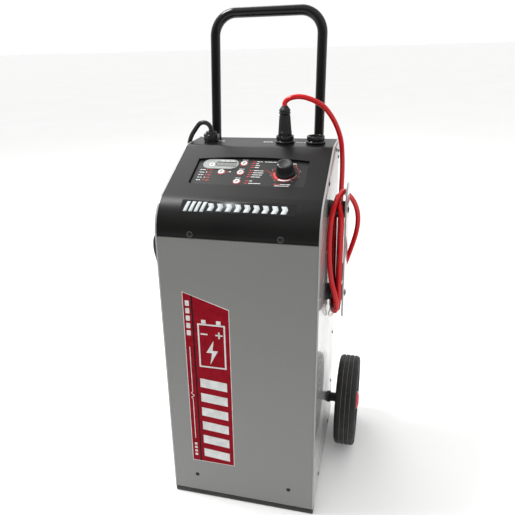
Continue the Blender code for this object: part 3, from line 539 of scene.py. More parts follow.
RED_END = (
    (0.1630, 0.1890, 0.4170), (0.1588, 0.1868, 0.4065), (0.1548, 0.1820, 0.3990), (0.1523, 0.1788, 0.3945),
    (0.1520, 0.1780, 0.3920), (0.1520, 0.1780, 0.3895),
)
MAINS_RUN = (
    (-0.1060, 0.2616, 0.7023), (-0.1060, 0.2616, 0.7040), (-0.1080, 0.2616, 0.7112),
    (-0.1135, 0.2616, 0.7167), (-0.1210, 0.2617, 0.7187), (-0.1285, 0.2618, 0.7167),
    (-0.1340, 0.2620, 0.7115), (-0.1410, 0.2624, 0.7030), (-0.1476, 0.2628, 0.6940),
    (-0.1526, 0.2622, 0.6830), (-0.1550, 0.2585, 0.6680), (-0.1580, 0.2500, 0.6400),
    (-0.1600, 0.2340, 0.6000), (-0.1610, 0.2190, 0.5600), (-0.1616, 0.2080, 0.5200),
    (-0.1614, 0.2010, 0.4850), (-0.1605, 0.1990, 0.4650),
)
MAINS_IN = ((-0.1580, 0.1935, 0.4350), (-0.1550, 0.1860, 0.4050), (-0.1530, 0.1800, 0.3770))
MAINS_BULGE = (
    (-0.1700, 0.1120, 0.3650), (-0.1712, 0.1120, 0.4000), (-0.1738, 0.1120, 0.4400), (-0.1785, 0.1122, 0.4750),
    (-0.1830, 0.1127, 0.5050), (-0.1800, 0.1160, 0.5270),
)
MAINS_END = (
    (-0.1690, 0.1880, 0.4850), (-0.1685, 0.1880, 0.4350), (-0.1680, 0.1880, 0.3850), (-0.1680, 0.1880, 0.3450),
    (-0.1680, 0.1880, 0.3150), (-0.1680, 0.1880, 0.2800),
)


def fold(x_start, x_end, over, radius=FOLD):
    """Round the upper post from the front to the back, or round the lower one from the back to the front."""
    side = 1 if over else -1
    centre = HANK_Z[over] - winder_drop(x_start)
    steps = 8
    points = []
    for i in range(steps + 1):
        a = math.pi * i / steps
        x = x_start + (x_end - x_start) * i / steps
        points.append((x, WINDER_Y - side * radius * math.cos(a), centre + side * radius * math.sin(a)))
    return points


def straight(x, y, z_start, z_end):
    """The points between two folds, without its ends."""
    drop = winder_drop(x)
    return [(x, y, z_start + (z_end - z_start) * i / 4 - drop) for i in (1, 2, 3)]


def make_lead(name, route, radius, look, **facts):
    points, length = smooth_route([place(*p) for p in route], 0.0042)
    piece = swept(points, radius, name, look)
    return piece


def make_red_lead(end_pieces):
    low, high = HANK_Z
    route = [*RED_RUN, *RED_DOWN]
    route += fold(0.1626, 0.17, over=False) + straight(0.17, WINDER_Y - FOLD, low, high)
    route += fold(0.17, 0.1528, over=True) + straight(0.1528, WINDER_Y + FOLD, high, 0.44)
    route += [*RED_OUTER, *RED_LOOP, *RED_END]
    piece = make_lead(
        "red_lead", route, RED_RADIUS, "red_rubber", far_end="fitting", stiffness="medium", lay="coiled",
        with_pieces=end_pieces,
    )
    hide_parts("red_lead_run", "red_lead_winding", "red_lead_loop", "red_lead_tail")


def make_mains_cord(end_pieces):
    low, high = HANK_Z
    far = FOLD + 2 * MAINS_RADIUS + 0.0002
    route = [*MAINS_RUN, *MAINS_IN]
    for x, x_next in ((-0.1526, -0.1617), (-0.1617, -0.1708)):
        route += fold(x, x, over=False) + straight(x, WINDER_Y - FOLD, low, high)
        route += fold(x, x_next, over=True) + straight(x_next, WINDER_Y + FOLD, high, low)
    route += fold(-0.1708, -0.17, over=False, radius=far)[1:-1]
    route += [*MAINS_BULGE, *fold(-0.17, -0.17, over=True, radius=far)[1:], *MAINS_END]
    piece = make_lead(
        "mains_cord", route, MAINS_RADIUS, "mains_rubber", far_end="plug", stiffness="medium", lay="coiled",
        with_pieces=end_pieces,
    )
    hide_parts("mains_cord_run", "mains_cord_winding", "mains_cord_tail")


def make_lug():
    """A crimped ring terminal on the red lead's end."""
    x, y, z = RED_END[-1]
    down = frame_at(place(x, y, z), (1, 0, 0), (0, -1, 0))
    profile = [(0.0034, 0.0002), (0.0049, 0.0004), (0.005, 0.003), (0.0047, 0.0036), (0.0047, 0.0058),
               (0.005, 0.0064), (0.005, 0.0105), (0.0042, 0.0135), (0.0025, 0.0148), (0, 0.0148)]
    barrel = lathe("lug_barrel", profile[::-1], down, "tinned", steps=32)
    hang = frame_at(place(x, y, z), (0.6, 0.8, 0), (0, 0, 1))
    outline = arc((0, -0.029), 0.0085, -233, 53, 30)
    ring = plate(
        "lug_ring", [outline + [(0.004, -0.0115), (-0.004, -0.0115)], circle((0, -0.029), 0.0043, 28)],
        -0.001, 0.001, hang, "tinned", soft=0.0003,
    )
    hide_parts("lead_lug")
    return [barrel, ring]


def make_mains_plug():
    x, y, z = MAINS_END[-1]
    down = frame_at(place(x, y, z), (1, 0, 0), (0, -1, 0))

    def ribs(r, h, a):
        if 0.004 < h < 0.0215:
            return r - (0.0011 if int(h * 1000) % 4 < 2 else 0.0)
        return r

    relief = [(0, 0.0003)] + [(0.006 + 0.0016 * t / 20, 0.0004 + 0.0216 * t / 20) for t in range(21)]
    body = [(0.0125, 0.0245), (0.015, 0.03), (0.0155, 0.034), (0.0155, 0.049), (0.0148, 0.0512),
            (0.0135, 0.052), (0, 0.052)]
    plug = lathe("mains_plug_body", (relief + body)[::-1], down, "satin_plastic", steps=48, radius=ribs)
    pins = []
    for side in (-1, 1):
        at = down @ Matrix.Translation((side * 0.0095, 0, 0))
        pin = [(0.0024, 0.05), (0.0024, 0.069), (0.0016, 0.0706), (0, 0.0708)]
        pins.append(lathe(f"mains_pin_{(side + 3) // 2}", pin[::-1], at, "steel", steps=24))
    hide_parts("mains_plug")
    return [plug] + pins


# Casing


def nose_point(x, s, lift=0.0):
    """A point on the hood's nose, s metres along its arc from the lip."""
    radius = NOSE_RADIUS - HOOD_DROP
    start = Vector((math.sin(LEAN), math.cos(LEAN)))
    out = Vector((-math.cos(LEAN), math.sin(LEAN)))
    low = Vector((0.0391, 0.56)) - out * HOOD_DROP
    centre = low - out * radius
    a = s / radius
    direction = out * math.cos(a) + start * math.sin(a)
    y, z = centre + direction * (radius + lift)
    return place(x, y, z)


def nose_shape(name, quads, look, lift):
    """Bars that follow the nose. Each quad is (x, s) at its low left, low right, high right and high left."""
    solid = bmesh.new()
    for corners in quads:
        (x0, s0), (x1, s1), (x2, s2), (x3, s3) = corners
        steps = 8
        rows = []
        for i in range(steps + 1):
            t = i / steps
            left = (x0 + (x3 - x0) * t, s0 + (s3 - s0) * t)
            right = (x1 + (x2 - x1) * t, s1 + (s2 - s1) * t)
            rows.append([solid.verts.new(nose_point(*p, lift)) for p in (left, right)])
        for low, high in zip(rows, rows[1:]):
            solid.faces.new((low[0], low[1], high[1], high[0]))
    mesh = bpy.data.meshes.new(name)
    solid.to_mesh(mesh)
    solid.free()
    piece = link(name, mesh, Matrix(), look, smooth=40)
    thickness = piece.modifiers.new("thickness", "SOLIDIFY")
    thickness.thickness = 0.00012
    thickness.offset = -1
    return piece


def make_casing():
    refined("hood", "charcoal_paint", width=0.0005, angle=40)
    refined("front_panel", "mid_grey_paint", width=0.0004)
    refined("rear_panel", "mid_grey_paint", width=0.0003)
    for side in ("left", "right"):
        refined(side + "_side_panel", "light_grey_paint", width=0.0005, angle=50)
    refined("front_foot", "black_rubber", width=0.0)
    grooves = [bar(-0.1445, z, 0.289, 0.0006) for z in (0.004, 0.0076)]
    at = frame_at(place(0, 0.0004, 0), (1, 0, 0), (0, 0, 1))
    plate("foot_ribs", grooves, 0.0, 0.0004, at, "satin_plastic")


def screw(name, at, radius, proud, ring=False):
    """A domed screw head with a cross recess drawn as painted shade (a dark flat cross on the dome), on a
    surface whose normal is local Z.
    """
    dome = [
        (0, proud), (radius * 0.45, proud * 0.97), (radius * 0.78, proud * 0.75),
        (radius * 0.95, proud * 0.4), (radius, 0.0), (radius, -0.0006),
    ]
    lathe(name, dome, at, "black_steel", steps=32)
    # Painted shade: the cross recess is a dark matte flat cross laid on the dome, not a hollow
    arm = bar(-radius * 0.52, -radius * 0.11, radius * 1.04, radius * 0.22)
    for i, turn in enumerate((20, 110)):
        turned = at @ Matrix.Rotation(math.radians(turn), 4, "Z")
        plate(f"{name}_cross_{i}", [arm], proud * 0.55, proud * 1.02, turned, "inside_dark")
    if ring:
        washer = [(radius * 1.35, 0.0003), (radius * 1.38, 0.0), (radius * 0.9, 0.0), (radius * 0.9, 0.0003)]
        lathe(name + "_rim", washer, at, "steel", steps=32, ring=True)


SIDE_SCREWS = (
    (0.1476, 0.6335), (0.2614, 0.669), (0.2986, 0.66), (0.2983, 0.6481), (0.294, 0.4506), (0.2894, 0.2456),
    (0.2865, 0.1124), (0.2373, 0.0317), (0.071, 0.0357),
)
LIP_SCREW_S = 0.0062


def pairs_at(half_width, heights):
    """A left and a right point at each height."""
    return [(side * half_width, z) for z in heights for side in (-1, 1)]


def make_side_screws():
    for side, name in ((1, "right"), (-1, "left")):
        for i, (y, z) in enumerate(SIDE_SCREWS):
            screw(f"{name}_side_screw_{i}", outward(side, BODY_HALF, y, z), 0.0036, 0.0014)
        for level, z in zip(("lower", "upper"), POST_Z):
            at = outward(side, PLATE_OUT, WINDER_Y, z - winder_drop(side))
            screw(f"{name}_{level}_plate_screw", at, 0.0062, 0.0022, ring=True)


def make_front_screws():
    for i, x in enumerate((-0.095, 0.095)):
        at = FRONT @ Matrix.Translation((x, 0.0505 / math.cos(LEAN), 0))
        screw(f"front_screw_{i}", at, 0.0042, 0.001)
    for i, x in enumerate((-0.0805, 0.0784)):
        origin = nose_point(x, LIP_SCREW_S)
        out = (nose_point(x, LIP_SCREW_S, 0.01) - origin).normalized()
        at = frame_at(origin, (1, 0, 0), out.cross(Vector((1, 0, 0))))
        screw(f"lip_screw_{i}", at, 0.004, 0.0008)
        rim = [(0.0052, 0.00025), (0.0053, -0.0002), (0.0043, -0.0002), (0.0043, 0.00025)]
        lathe(f"lip_screw_rim_{i}", rim, at, "screw_rim", steps=32, ring=True)
    rivet = [(0, 0.0005), (0.0012, 0.0004), (0.0018, 0.0), (0.0018, -0.0003)]
    lathe("front_rivet", rivet, FRONT @ Matrix.Translation((0.0697, 0.1538, 0)), "mid_grey_paint", steps=24)


def make_rear_screws():
    for i, (x, z) in enumerate(pairs_at(0.13, (0.03, 0.34, 0.655))):
        screw(f"rear_screw_{i}", back(x, REAR_Y, z), 0.0036, 0.0014)
    for i, (x, z) in enumerate(pairs_at(0.0525, (0.2775, 0.3825))):
        screw(f"fan_screw_{i}", back(x, REAR_Y, z), 0.0032, 0.0014)


def decal(name, outlines, look="decal_light", low=0.00022, high=0.00032):
    """A flat piece of the front's label."""
    plate("decal_" + name, outlines, low, high, FRONT, look)


def make_decal_ground():
    """A dark red strip with a slanted top, a light rim and a dark pinstripe."""
    edge = [(-0.1022, 0.0868), (-0.0143, 0.0868), (-0.0143, 0.4312), (-0.1022, 0.46)]
    field = [(-0.101, 0.088), (-0.0155, 0.088), (-0.0155, 0.43), (-0.101, 0.4585)]
    stripe = [(-0.0858, 0.088), (-0.0829, 0.088), (-0.0829, 0.453), (-0.0858, 0.4538)]
    decal("edge", [edge], "decal_light", 0.00003, 0.0001)
    decal("field", [field], "decal_red", 0.00012, 0.0002)
    decal("pinstripe", [stripe], "decal_dark", 0.00022, 0.0003)


def make_battery_symbol():
    """A tall battery in outline, with its terminals, their signs and a bolt."""
    decal("battery", [bar(-0.076, 0.308, 0.053, 0.091), bar(-0.073, 0.311, 0.047, 0.085)])
    for i, x in enumerate((-0.068, -0.0395)):
        decal(f"terminal_{i}", [bar(x, 0.3995, 0.0085, 0.0075)])
    decal("plus_across", [bar(-0.0418, 0.3765, 0.0135, 0.0028)])
    decal("plus_up", [bar(-0.03645, 0.3712, 0.0028, 0.0134)], low=0.00023)
    decal("minus", [bar(-0.0705, 0.3765, 0.0135, 0.0028)])
    bolt = [
        (-0.046, 0.366), (-0.061, 0.34), (-0.05, 0.34), (-0.0545, 0.315), (-0.0385, 0.345), (-0.049, 0.345),
    ]
    decal("bolt", [bolt])


def make_front_decal():
    """The label's ground and symbol, slanted bars below, and a narrow column with a fine pulse line."""
    make_decal_ground()
    make_battery_symbol()
    for i in range(6):
        y = 0.101 + i * 0.0325
        corners = [(-0.0765, y), (-0.0235, y - 0.0045), (-0.0235, y + 0.0145), (-0.0765, y + 0.019)]
        decal(f"bar_{i}", [corners])
    for i in range(5):
        decal(f"block_{i}", [rounded_box(-0.0935, 0.4375 - i * 0.015, 0.0078, 0.0105, 0.0012)])
    pulse = [(-0.0935, 0.348), (-0.0935, 0.25), (-0.0965, 0.247), (-0.0905, 0.242), (-0.0965, 0.237),
             (-0.0935, 0.234), (-0.0935, 0.142)]
    for i, (a, b) in enumerate(zip(pulse, pulse[1:])):
        decal(f"pulse_{i}", [line(a, b, 0.0013)], low=0.00022 + i * 0.000004)
    for i in range(4):
        decal(f"tick_{i}", [bar(-0.0962, 0.1 + i * 0.0085, 0.0055, 0.005)])


def make_nose_band():
    """A strip of dark film with plain silver bars and chevrons on the nose."""
    low, high = 0.0435, 0.07
    nose_shape("band_film", [((-0.101, low), (0.1, low), (0.1, high), (-0.101, high))], "band_film", 0.00008)
    quads = []
    lean = 0.005
    for i in range(4):
        x = -0.096 + i * 0.01
        foot, top = low + 0.003, high - 0.004
        quads.append([(x, foot), (x + 0.0065, foot), (x + 0.0065 + lean, top), (x + lean, top)])
    for i in range(9):
        x = -0.053 + i * 0.016
        foot, middle, top = low + 0.0055, (low + high) / 2 - 0.0005, high - 0.0065
        quads.append([(x, foot), (x + 0.0095, foot), (x + 0.0125, middle), (x + 0.003, middle)])
        quads.append([(x + 0.003, middle), (x + 0.0125, middle), (x + 0.0095, top), (x, top)])
    nose_shape("band_chevrons", quads, "band_silver", 0.00022)


# Control panel

KEYS = (
    ("power_button", "power_key", -0.0762, 0.0915), ("mode_button_1", "mode_key_1", -0.0159, 0.0982),
    ("mode_button_2", "mode_key_2", -0.0169, 0.0713), ("mode_button_3", "mode_key_3", -0.0178, 0.0455),
    ("mode_button_4", "mode_key_4", -0.0531, 0.0715),
)
KNOB = (0.0658, 0.0733)
BEZEL_AT = (-0.0598, 0.0938)
WINDOW_AT = (-0.0491, 0.0934)
DIGIT_LEAN = 0.12


def make_keys():
    for node, body, u, v in KEYS:
        at = FLOOR @ Matrix.Translation((u, v, 0))
        cap = [
            (0, 0.0017), (0.0038, 0.00172), (0.0052, 0.0018), (0.0057, 0.0016), (0.006, 0.0011),
            (0.006, -0.003), (0.0025, -0.0032), (0.0025, -0.015), (0, -0.015),
        ]
        key = lathe(node + "_cap", cap, at, "white_plastic", body, 48)
        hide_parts(node)
        ring = [(0.0071, 0.00022), (0.0072, 0.0), (0.00645, 0.0), (0.00645, 0.00022)]
        lathe(node + "_ring", ring, at, "red_print", steps=48, ring=True)
        mark = slanted_oval(0.0021, 0.0008, 0.003, 24)
        hole = slanted_oval(0.0007, 0.0003, 0.0016, 16)
        plate(node + "_mark", [mark, hole], 0.00172, 0.00182, at, "segment_dark", body)


def make_digit(digit):
    """Seven leaning segments, dark as when the display is off."""
    centre_x = WINDOW_AT[0] - 0.0126 + digit * 0.0084
    flats = [(0, level, 0.004, 0.0009) for level in (2, 0, -2)]
    uprights = [(side, level, 0.0009, 0.0031) for level in (1, -1) for side in (-1, 1)]
    for i, (side, level, width, height) in enumerate(flats + uprights):
        dx, dy = side * 0.00247, level * 0.001972
        x = centre_x + dx + dy * DIGIT_LEAN - width / 2
        segment = bar(x, WINDOW_AT[1] + dy - height / 2, width, height)
        plate(f"digit_{digit}_{i}", [segment], 0.00112, 0.00118, FLOOR, "segment_dark")


def make_display():
    refined("display_bezel", "silver_plastic", width=0.0004)
    refined("display_window", "dark_lens", width=0.0001)
    rim = slot_outline(*BEZEL_AT, 0.069, 0.029, 20)
    inside = slot_outline(*BEZEL_AT, 0.0672, 0.0272, 20)
    plate("display_rim", [rim, inside], PRINT_LOW, 0.001, FLOOR, "silver_plastic", soft=0.0002)
    glass = rounded_box(*WINDOW_AT, 0.0374, 0.0114, 0.0014)
    seat = rounded_box(*WINDOW_AT, 0.0394, 0.0134, 0.002)
    plate("display_frame", [seat, glass], 0.00145, 0.0017, FLOOR, "inside_dark")
    for digit in range(4):
        make_digit(digit)
    for i in range(3):
        tick = bar(-0.061 + i * 0.0095, 0.1018, 0.007, 0.0012)
        plate(f"display_tick_{i}", [tick], 0.0015, 0.00158, FLOOR, "white_print")


def panel_print(name, outlines, look, high=PRINT_HIGH):
    plate(name, outlines, PRINT_LOW, high, FLOOR, look)


def printed_row(name, u, v, red, white, height=0.0014):
    """A row of print: short red dashes, then white ones, standing for a legend."""
    x = u
    for colour, widths in (("red", red), ("white", white)):
        for i, width in enumerate(widths):
            panel_print(f"{name}_{colour}_{i}", [bar(x, v, width, height)], colour + "_print")
            x += width + 0.0008
        x += 0.001


# Each group: its name, its first row's place, the steps between rows, and the widths of red and white dashes
ROW_GROUPS = (
    ("upper", 0.0, 0.104, 0.0004, 0.0058, (0.003, 0.002),
     ((0.006, 0.0035), (0.0045,), (0.0052, 0.002), (0.0075,))),
    ("middle", -0.001, 0.0775, 0.0006, 0.006, (0.003, 0.0022),
     ((0.01, 0.007), (0.0085, 0.01), (0.011, 0.0065), (0.008, 0.008))),
    ("lower", -0.003, 0.048, 0.0006, 0.0066, (0.0032, 0.0022), ((0.005,), (0.007, 0.009, 0.004))),
)
SINGLE_ROWS = (
    ("long_row", 0.021, 0.104, (), (0.005, 0.009, 0.006)),
    ("knob_row_1", 0.05, 0.0412, (0.0026, 0.0026, 0.0026), (0.01, 0.0075)),
    ("knob_row_2", 0.051, 0.037, (), (0.0085, 0.004, 0.006, 0.0045)),
    ("knob_row_3", 0.074, 0.1, (), (0.007,)),
    ("right_key_row", -0.044, 0.0722, (0.0026,), (0.0042,)),
)


def make_lamps():
    """Five small lamps, each with a short row on both sides."""
    for i in range(5):
        v = 0.0769 - i * 0.00745
        lamp = FLOOR @ Matrix.Translation((-0.081, v, 0))
        dome = [(0, 0.0009), (0.0008, 0.0008), (0.0013, 0.0004), (0.0014, 0.0)]
        lathe(f"lamp_{i}", dome, lamp, "white_plastic" if i % 2 else "red_print", steps=20)
        printed_row(f"lamp_row_{i}", -0.096, v - 0.0007, (), (0.004, 0.0052 - 0.0006 * i))
        printed_row(f"lamp_note_{i}", -0.0775, v - 0.0007, (0.003, 0.0022), ())


def make_legends():
    for name, u, v, u_step, v_step, red, whites in ROW_GROUPS:
        for i, white in enumerate(whites):
            printed_row(f"{name}_row_{i}", u - i * u_step, v - i * v_step, red, white)
    for row in SINGLE_ROWS:
        printed_row(*row)
    for i, (u, v) in enumerate(((-0.0215, 0.108), (-0.0225, 0.081), (-0.024, 0.0552))):
        printed_row(f"key_row_{i}", u, v, (), (0.0055, 0.0035), 0.0011)
    route = [(0.0235, 0.0785), (0.033, 0.0785), (0.0385, 0.072), (0.0415, 0.07)]
    for i, (a, b) in enumerate(zip(route, route[1:])):
        panel_print(f"guide_line_{i}", [line(a, b, 0.0005)], "red_print", 0.00008 + i * 0.00001)


def make_knob_scale():
    panel_print("scale_circle", [circle(KNOB, 0.0247, 72), circle(KNOB, 0.0242, 72)], "red_print")
    panel_print("scale_red", [band(KNOB, 0.018, 0.0222, 178, 236)], "red_print")
    panel_print("scale_white", [band(KNOB, 0.0192, 0.0222, 240, 305)], "white_print")
    panel_print("scale_red_inner", [band(KNOB, 0.018, 0.019, 238, 330)], "red_print", 0.00011)
    panel_print("scale_grey", [band(KNOB, 0.02, 0.0216, 309, 350)], "silver_plastic")
    for i in range(9):
        a = math.radians(232 - i * 36)
        start, end = [(KNOB[0] + r * math.cos(a), KNOB[1] + r * math.sin(a)) for r in (0.0262, 0.0278)]
        panel_print(f"scale_tick_{i}", [line(start, end, 0.0006)], "white_print")


def make_knob():
    at = FLOOR @ Matrix.Translation((*KNOB, 0))

    def flutes(r, h, a):
        if 0.006 < h < 0.0205 and r > 0.013:
            wave = math.cos(16 * a)
            return r - 0.0011 * max(0.0, wave) ** 1.5
        return r

    profile = [
        (0, 0.0222), (0.0095, 0.0223), (0.0098, 0.0225), (0.0118, 0.0225), (0.0132, 0.022), (0.0139, 0.0208),
        (0.0142, 0.02), (0.015, 0.012), (0.0156, 0.0064), (0.0158, 0.0055), (0.0166, 0.0048), (0.017, 0.0036),
        (0.017, 0.0012), (0.0166, 0.0006), (0.003, 0.0006), (0.003, -0.015), (0, -0.015),
    ]
    knob = lathe("knob_cap", profile, at, "satin_plastic", "knob", 192, flutes, 38)
    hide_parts("current_knob")
    pointer = at @ Matrix.Rotation(math.radians(208), 4, "Z")
    mark = bar(0.01, -0.0005, 0.0035, 0.001)
    plate("knob_pointer", [mark], 0.0223, 0.02262, pointer, "white_print", "knob")


# Sockets, plug and gland


def make_sockets():
    for name, x in (("positive", POSITIVE_X), ("negative", NEGATIVE_X)):
        at = upright(x, SOCKET_Y, HOOD_TOP)

        def notch(r, h, a):
            if r > 0.0165 and h > 0.0052:
                phase = (a * 3 / math.tau) % 1.0
                return r - (0.0007 if phase < 0.1 else 0.0)
            return r

        profile = [
            (0.0134, 0.0132), (0.014, 0.0139), (0.0148, 0.014), (0.0162, 0.014), (0.0169, 0.0134),
            (0.017, 0.0128), (0.017, 0.0062), (0.0166, 0.0056), (0.0166, 0.0047), (0.018, 0.0043),
            (0.0185, 0.0036), (0.0185, 0.001), (0.0181, 0.0004), (0.015, 0.0003), (0.015, -0.013),
            (0.0063, -0.0138), (0.0063, -0.008), (0.0134, -0.008),
        ]
        housing = lathe(name + "_housing", profile, at, "black_plastic", steps=96,
                        radius=notch, ring=True, smooth=40)
        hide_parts(name + "_socket")
        pin = [(0, -0.0155), (0.004, -0.0155), (0.0042, 0.009), (0.0048, 0.0098), (0.0082, 0.01),
               (0.0089, 0.0094), (0.009, 0.0085), (0.009, -0.0075), (0.0058, -0.0077), (0.0058, -0.0215),
               (0.0052, -0.022), (0, -0.022)]
        contact = lathe(name + "_contact_pin", pin, at, "brass", steps=64)
        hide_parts(name + "_contact")


def make_plug():
    at = upright(POSITIVE_X, SOCKET_Y, HOOD_TOP)

    def ribbed(r, h, a):
        if 0.0215 < h < 0.0515 and r > 0.009:
            wave = math.cos(10 * a)
            return r - 0.0012 * max(0.0, wave) ** 0.6
        return r

    sleeve = [
        (0, 0.0535), (0.0092, 0.0535), (0.0098, 0.053), (0.0098, 0.052), (0.0106, 0.0515), (0.0108, 0.047),
        (0.0118, 0.033), (0.0126, 0.0222), (0.013, 0.021), (0.0131, 0.02), (0.0131, 0.015), (0.0128, 0.0142),
        (0.0128, 0.011), (0.0126, 0.0103), (0.004, 0.0103), (0.004, -0.015), (0, -0.0152),
    ]
    plug = lathe(
        "plug_sleeve", sleeve, at, "satin_plastic", steps=160, radius=ribbed, smooth=40,
    )
    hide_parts("lead_plug")
    boot = [
        (0, 0.069), (0.0056, 0.069), (0.0064, 0.0682), (0.0068, 0.0668), (0.0082, 0.0655), (0.0098, 0.063),
        (0.0108, 0.0608), (0.011, 0.06), (0.0101, 0.0592), (0.0101, 0.0578), (0.011, 0.0572), (0.011, 0.0552),
        (0.0104, 0.0542), (0, 0.054),
    ]
    cap = lathe("plug_cap", boot, at, "satin_plastic", steps=72)
    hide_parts("plug_boot")
    return [plug, cap]


def make_gland():
    at = upright(GLAND_X, GLAND_Y, HOOD_TOP)
    base = lathe("gland_base", [(0.0052, 0.0118), (0.0098, 0.0118), (0.01, 0.0112), (0.01, 0.0022),
                                (0.0146, 0.0021), (0.015, 0.0016), (0.015, 0.0004), (0.01, 0.0003),
                                (0.01, -0.012), (0.0052, -0.012)], at, "black_plastic", steps=64,
                 ring=True)
    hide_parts("gland_body")

    def six(r, h, a):
        if h < 0.0146 and r > 0.0115:
            part = (a + math.pi / 6) % (math.pi / 3) - math.pi / 6
            return min(r, 0.0143 / math.cos(part))
        if 0.0152 < h < 0.0186 and r > 0.01:
            return r - 0.0007 * max(0.0, math.cos(16 * a))
        return r

    nut = [
        (0.0056, 0.0189), (0.006, 0.0194), (0.0086, 0.0195), (0.0098, 0.0191), (0.0106, 0.0184),
        (0.011, 0.016), (0.011, 0.0149), (0.0148, 0.0144), (0.0158, 0.0136), (0.0158, 0.0094),
        (0.0152, 0.009), (0.0152, 0.0082), (0.0158, 0.0078), (0.0158, 0.0032), (0.015, 0.0024),
        (0.0103, 0.0024), (0.0103, 0.0121), (0.0056, 0.0121),
    ]
    cap = lathe(
        "gland_cap", nut, at, "black_plastic", steps=144, radius=six, ring=True,
        smooth=30,
    )
    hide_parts("gland_nut")
    return cap


TOP_MARKS = (
    ("mains", 0.259, 0.004, ((-0.0905, 0.0052), (-0.0835, 0.0052))),
    ("positive", 0.2572, 0.0036, ((0.002, 0.006), (0.0092, 0.004), (0.0144, 0.0062))),
    ("negative", 0.2562, 0.0036, ((0.067, 0.0062), (0.0744, 0.0056), (0.0812, 0.005))),
)


def make_top_marks():
    """Small white marks beside the sockets and the gland."""
    for name, y, height, strokes in TOP_MARKS:
        for i, (x, width) in enumerate(strokes):
            plate(f"{name}_mark_{i}", [bar(x, y, width, height)], PRINT_LOW, 0.00012, TOP, "white_print")


# Handle


def fillet(before, corner, after, radius, steps):
    before, corner, after = Vector(before), Vector(corner), Vector(after)
    to_before = (before - corner).normalized()
    to_after = (after - corner).normalized()
    half = to_before.angle(to_after) / 2
    centre = corner + (to_before + to_after).normalized() * radius / math.sin(half)
    start = corner + to_before * radius / math.tan(half) - centre
    end = corner + to_after * radius / math.tan(half) - centre
    first = math.atan2(start.y, start.x)
    turn = (math.atan2(end.y, end.x) - first + math.pi) % math.tau - math.pi
    angles = [first + turn * i / steps for i in range(steps + 1)]
    return [(centre.x + radius * math.cos(a), centre.y + radius * math.sin(a)) for a in angles]


def make_handle():
    lean = math.atan(0.155)
    at = frame_at(place(0, 0.294, 0.683), (1, 0, 0), (0, math.sin(lean), math.cos(lean)))
    high, low = (0.916 - 0.683) / math.cos(lean), (0.56 - 0.683) / math.cos(lean)
    feet = (-0.1057, low), (0.1057, low)
    corners = (-0.1057, high), (0.1057, high)
    path = [feet[0], (-0.1057, high * 0.4)] + fillet(feet[0], corners[0], corners[1], 0.042, 32)
    path += fillet(corners[0], corners[1], feet[1], 0.042, 32) + [(0.1057, high * 0.4), feet[1]]
    tube = swept(
        [at @ Vector((x, y, 0)) for x, y in path], 0.0095, "handle_bar", "gloss_black", sides=12,
    )
    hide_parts("handle_tube")


# Wheels


def make_wheels():
    for side, name in ((1, "right"), (-1, "left")):
        body = name + "_wheel"
        at = outward(side, 0.1665, WHEEL_Y, AXLE_Z)
        make_tyre(name, at, body)
        make_hub(name, at, body)
        cap = [
            (0, 0.0485), (0.006, 0.0484), (0.0115, 0.0478), (0.016, 0.0464), (0.0188, 0.0444),
            (0.0198, 0.0428), (0.02, 0.0412), (0, 0.0411),
        ]
        red = lathe(name + "_red_cap", cap, at, "red_plastic", steps=64)
        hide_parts("hub_cap_" + name)
        refined("axle_sleeve_" + name, "satin_plastic", width=0.0003)
        collar = [(0.0128, 0.0002), (0.0128, 0.004), (0.012, 0.0046), (0.0106, 0.0048), (0.0102, 0.0002)]
        wall = outward(side, BODY_HALF, WHEEL_Y, AXLE_Z)
        lathe(name + "_collar", collar[::-1], wall, "satin_plastic", steps=48, ring=True)


def make_tyre(name, at, body):
    """Solid rubber with ring grooves in its tread and a raised bead on each side."""
    wide = 0.0445
    profile = [
        (0.0743, 0.042), (0.0752, 0.0428), (0.079, 0.0445), (0.0815, 0.0445), (0.0822, 0.0438),
        (0.0832, 0.0438), (0.084, 0.0445), (0.093, 0.0445), (0.095, 0.0438), (0.0972, 0.0425),
        (0.0988, 0.0402), (0.0995, 0.0378),
    ]
    groove_at = (0.0318, 0.0222, 0.0126)
    for h in groove_at:
        profile += [(0.1, h + 0.0019), (0.0997, h + 0.0014), (0.0982, h + 0.0009), (0.0982, h - 0.0009),
                    (0.0997, h - 0.0014), (0.1, h - 0.0019)]
    profile += [
        (0.0995, wide - 0.0378), (0.0988, wide - 0.0402), (0.0972, wide - 0.0425), (0.095, wide - 0.0438),
        (0.093, 0.0), (0.084, 0.0), (0.079, 0.0), (0.0752, 0.0017), (0.0743, 0.0025),
    ]
    tyre = lathe(name + "_tread", profile, at, "tyre_rubber", body, 128, ring=True, smooth=28)
    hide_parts("tyre_" + name)
    for i, h in enumerate(groove_at):
        dust = [(0.09835, h + 0.0006), (0.09835, h - 0.0006), (0.098, h - 0.0006), (0.098, h + 0.0006)]
        lathe(f"{name}_groove_{i}", dust, at, "tyre_line", body, 128, ring=True)


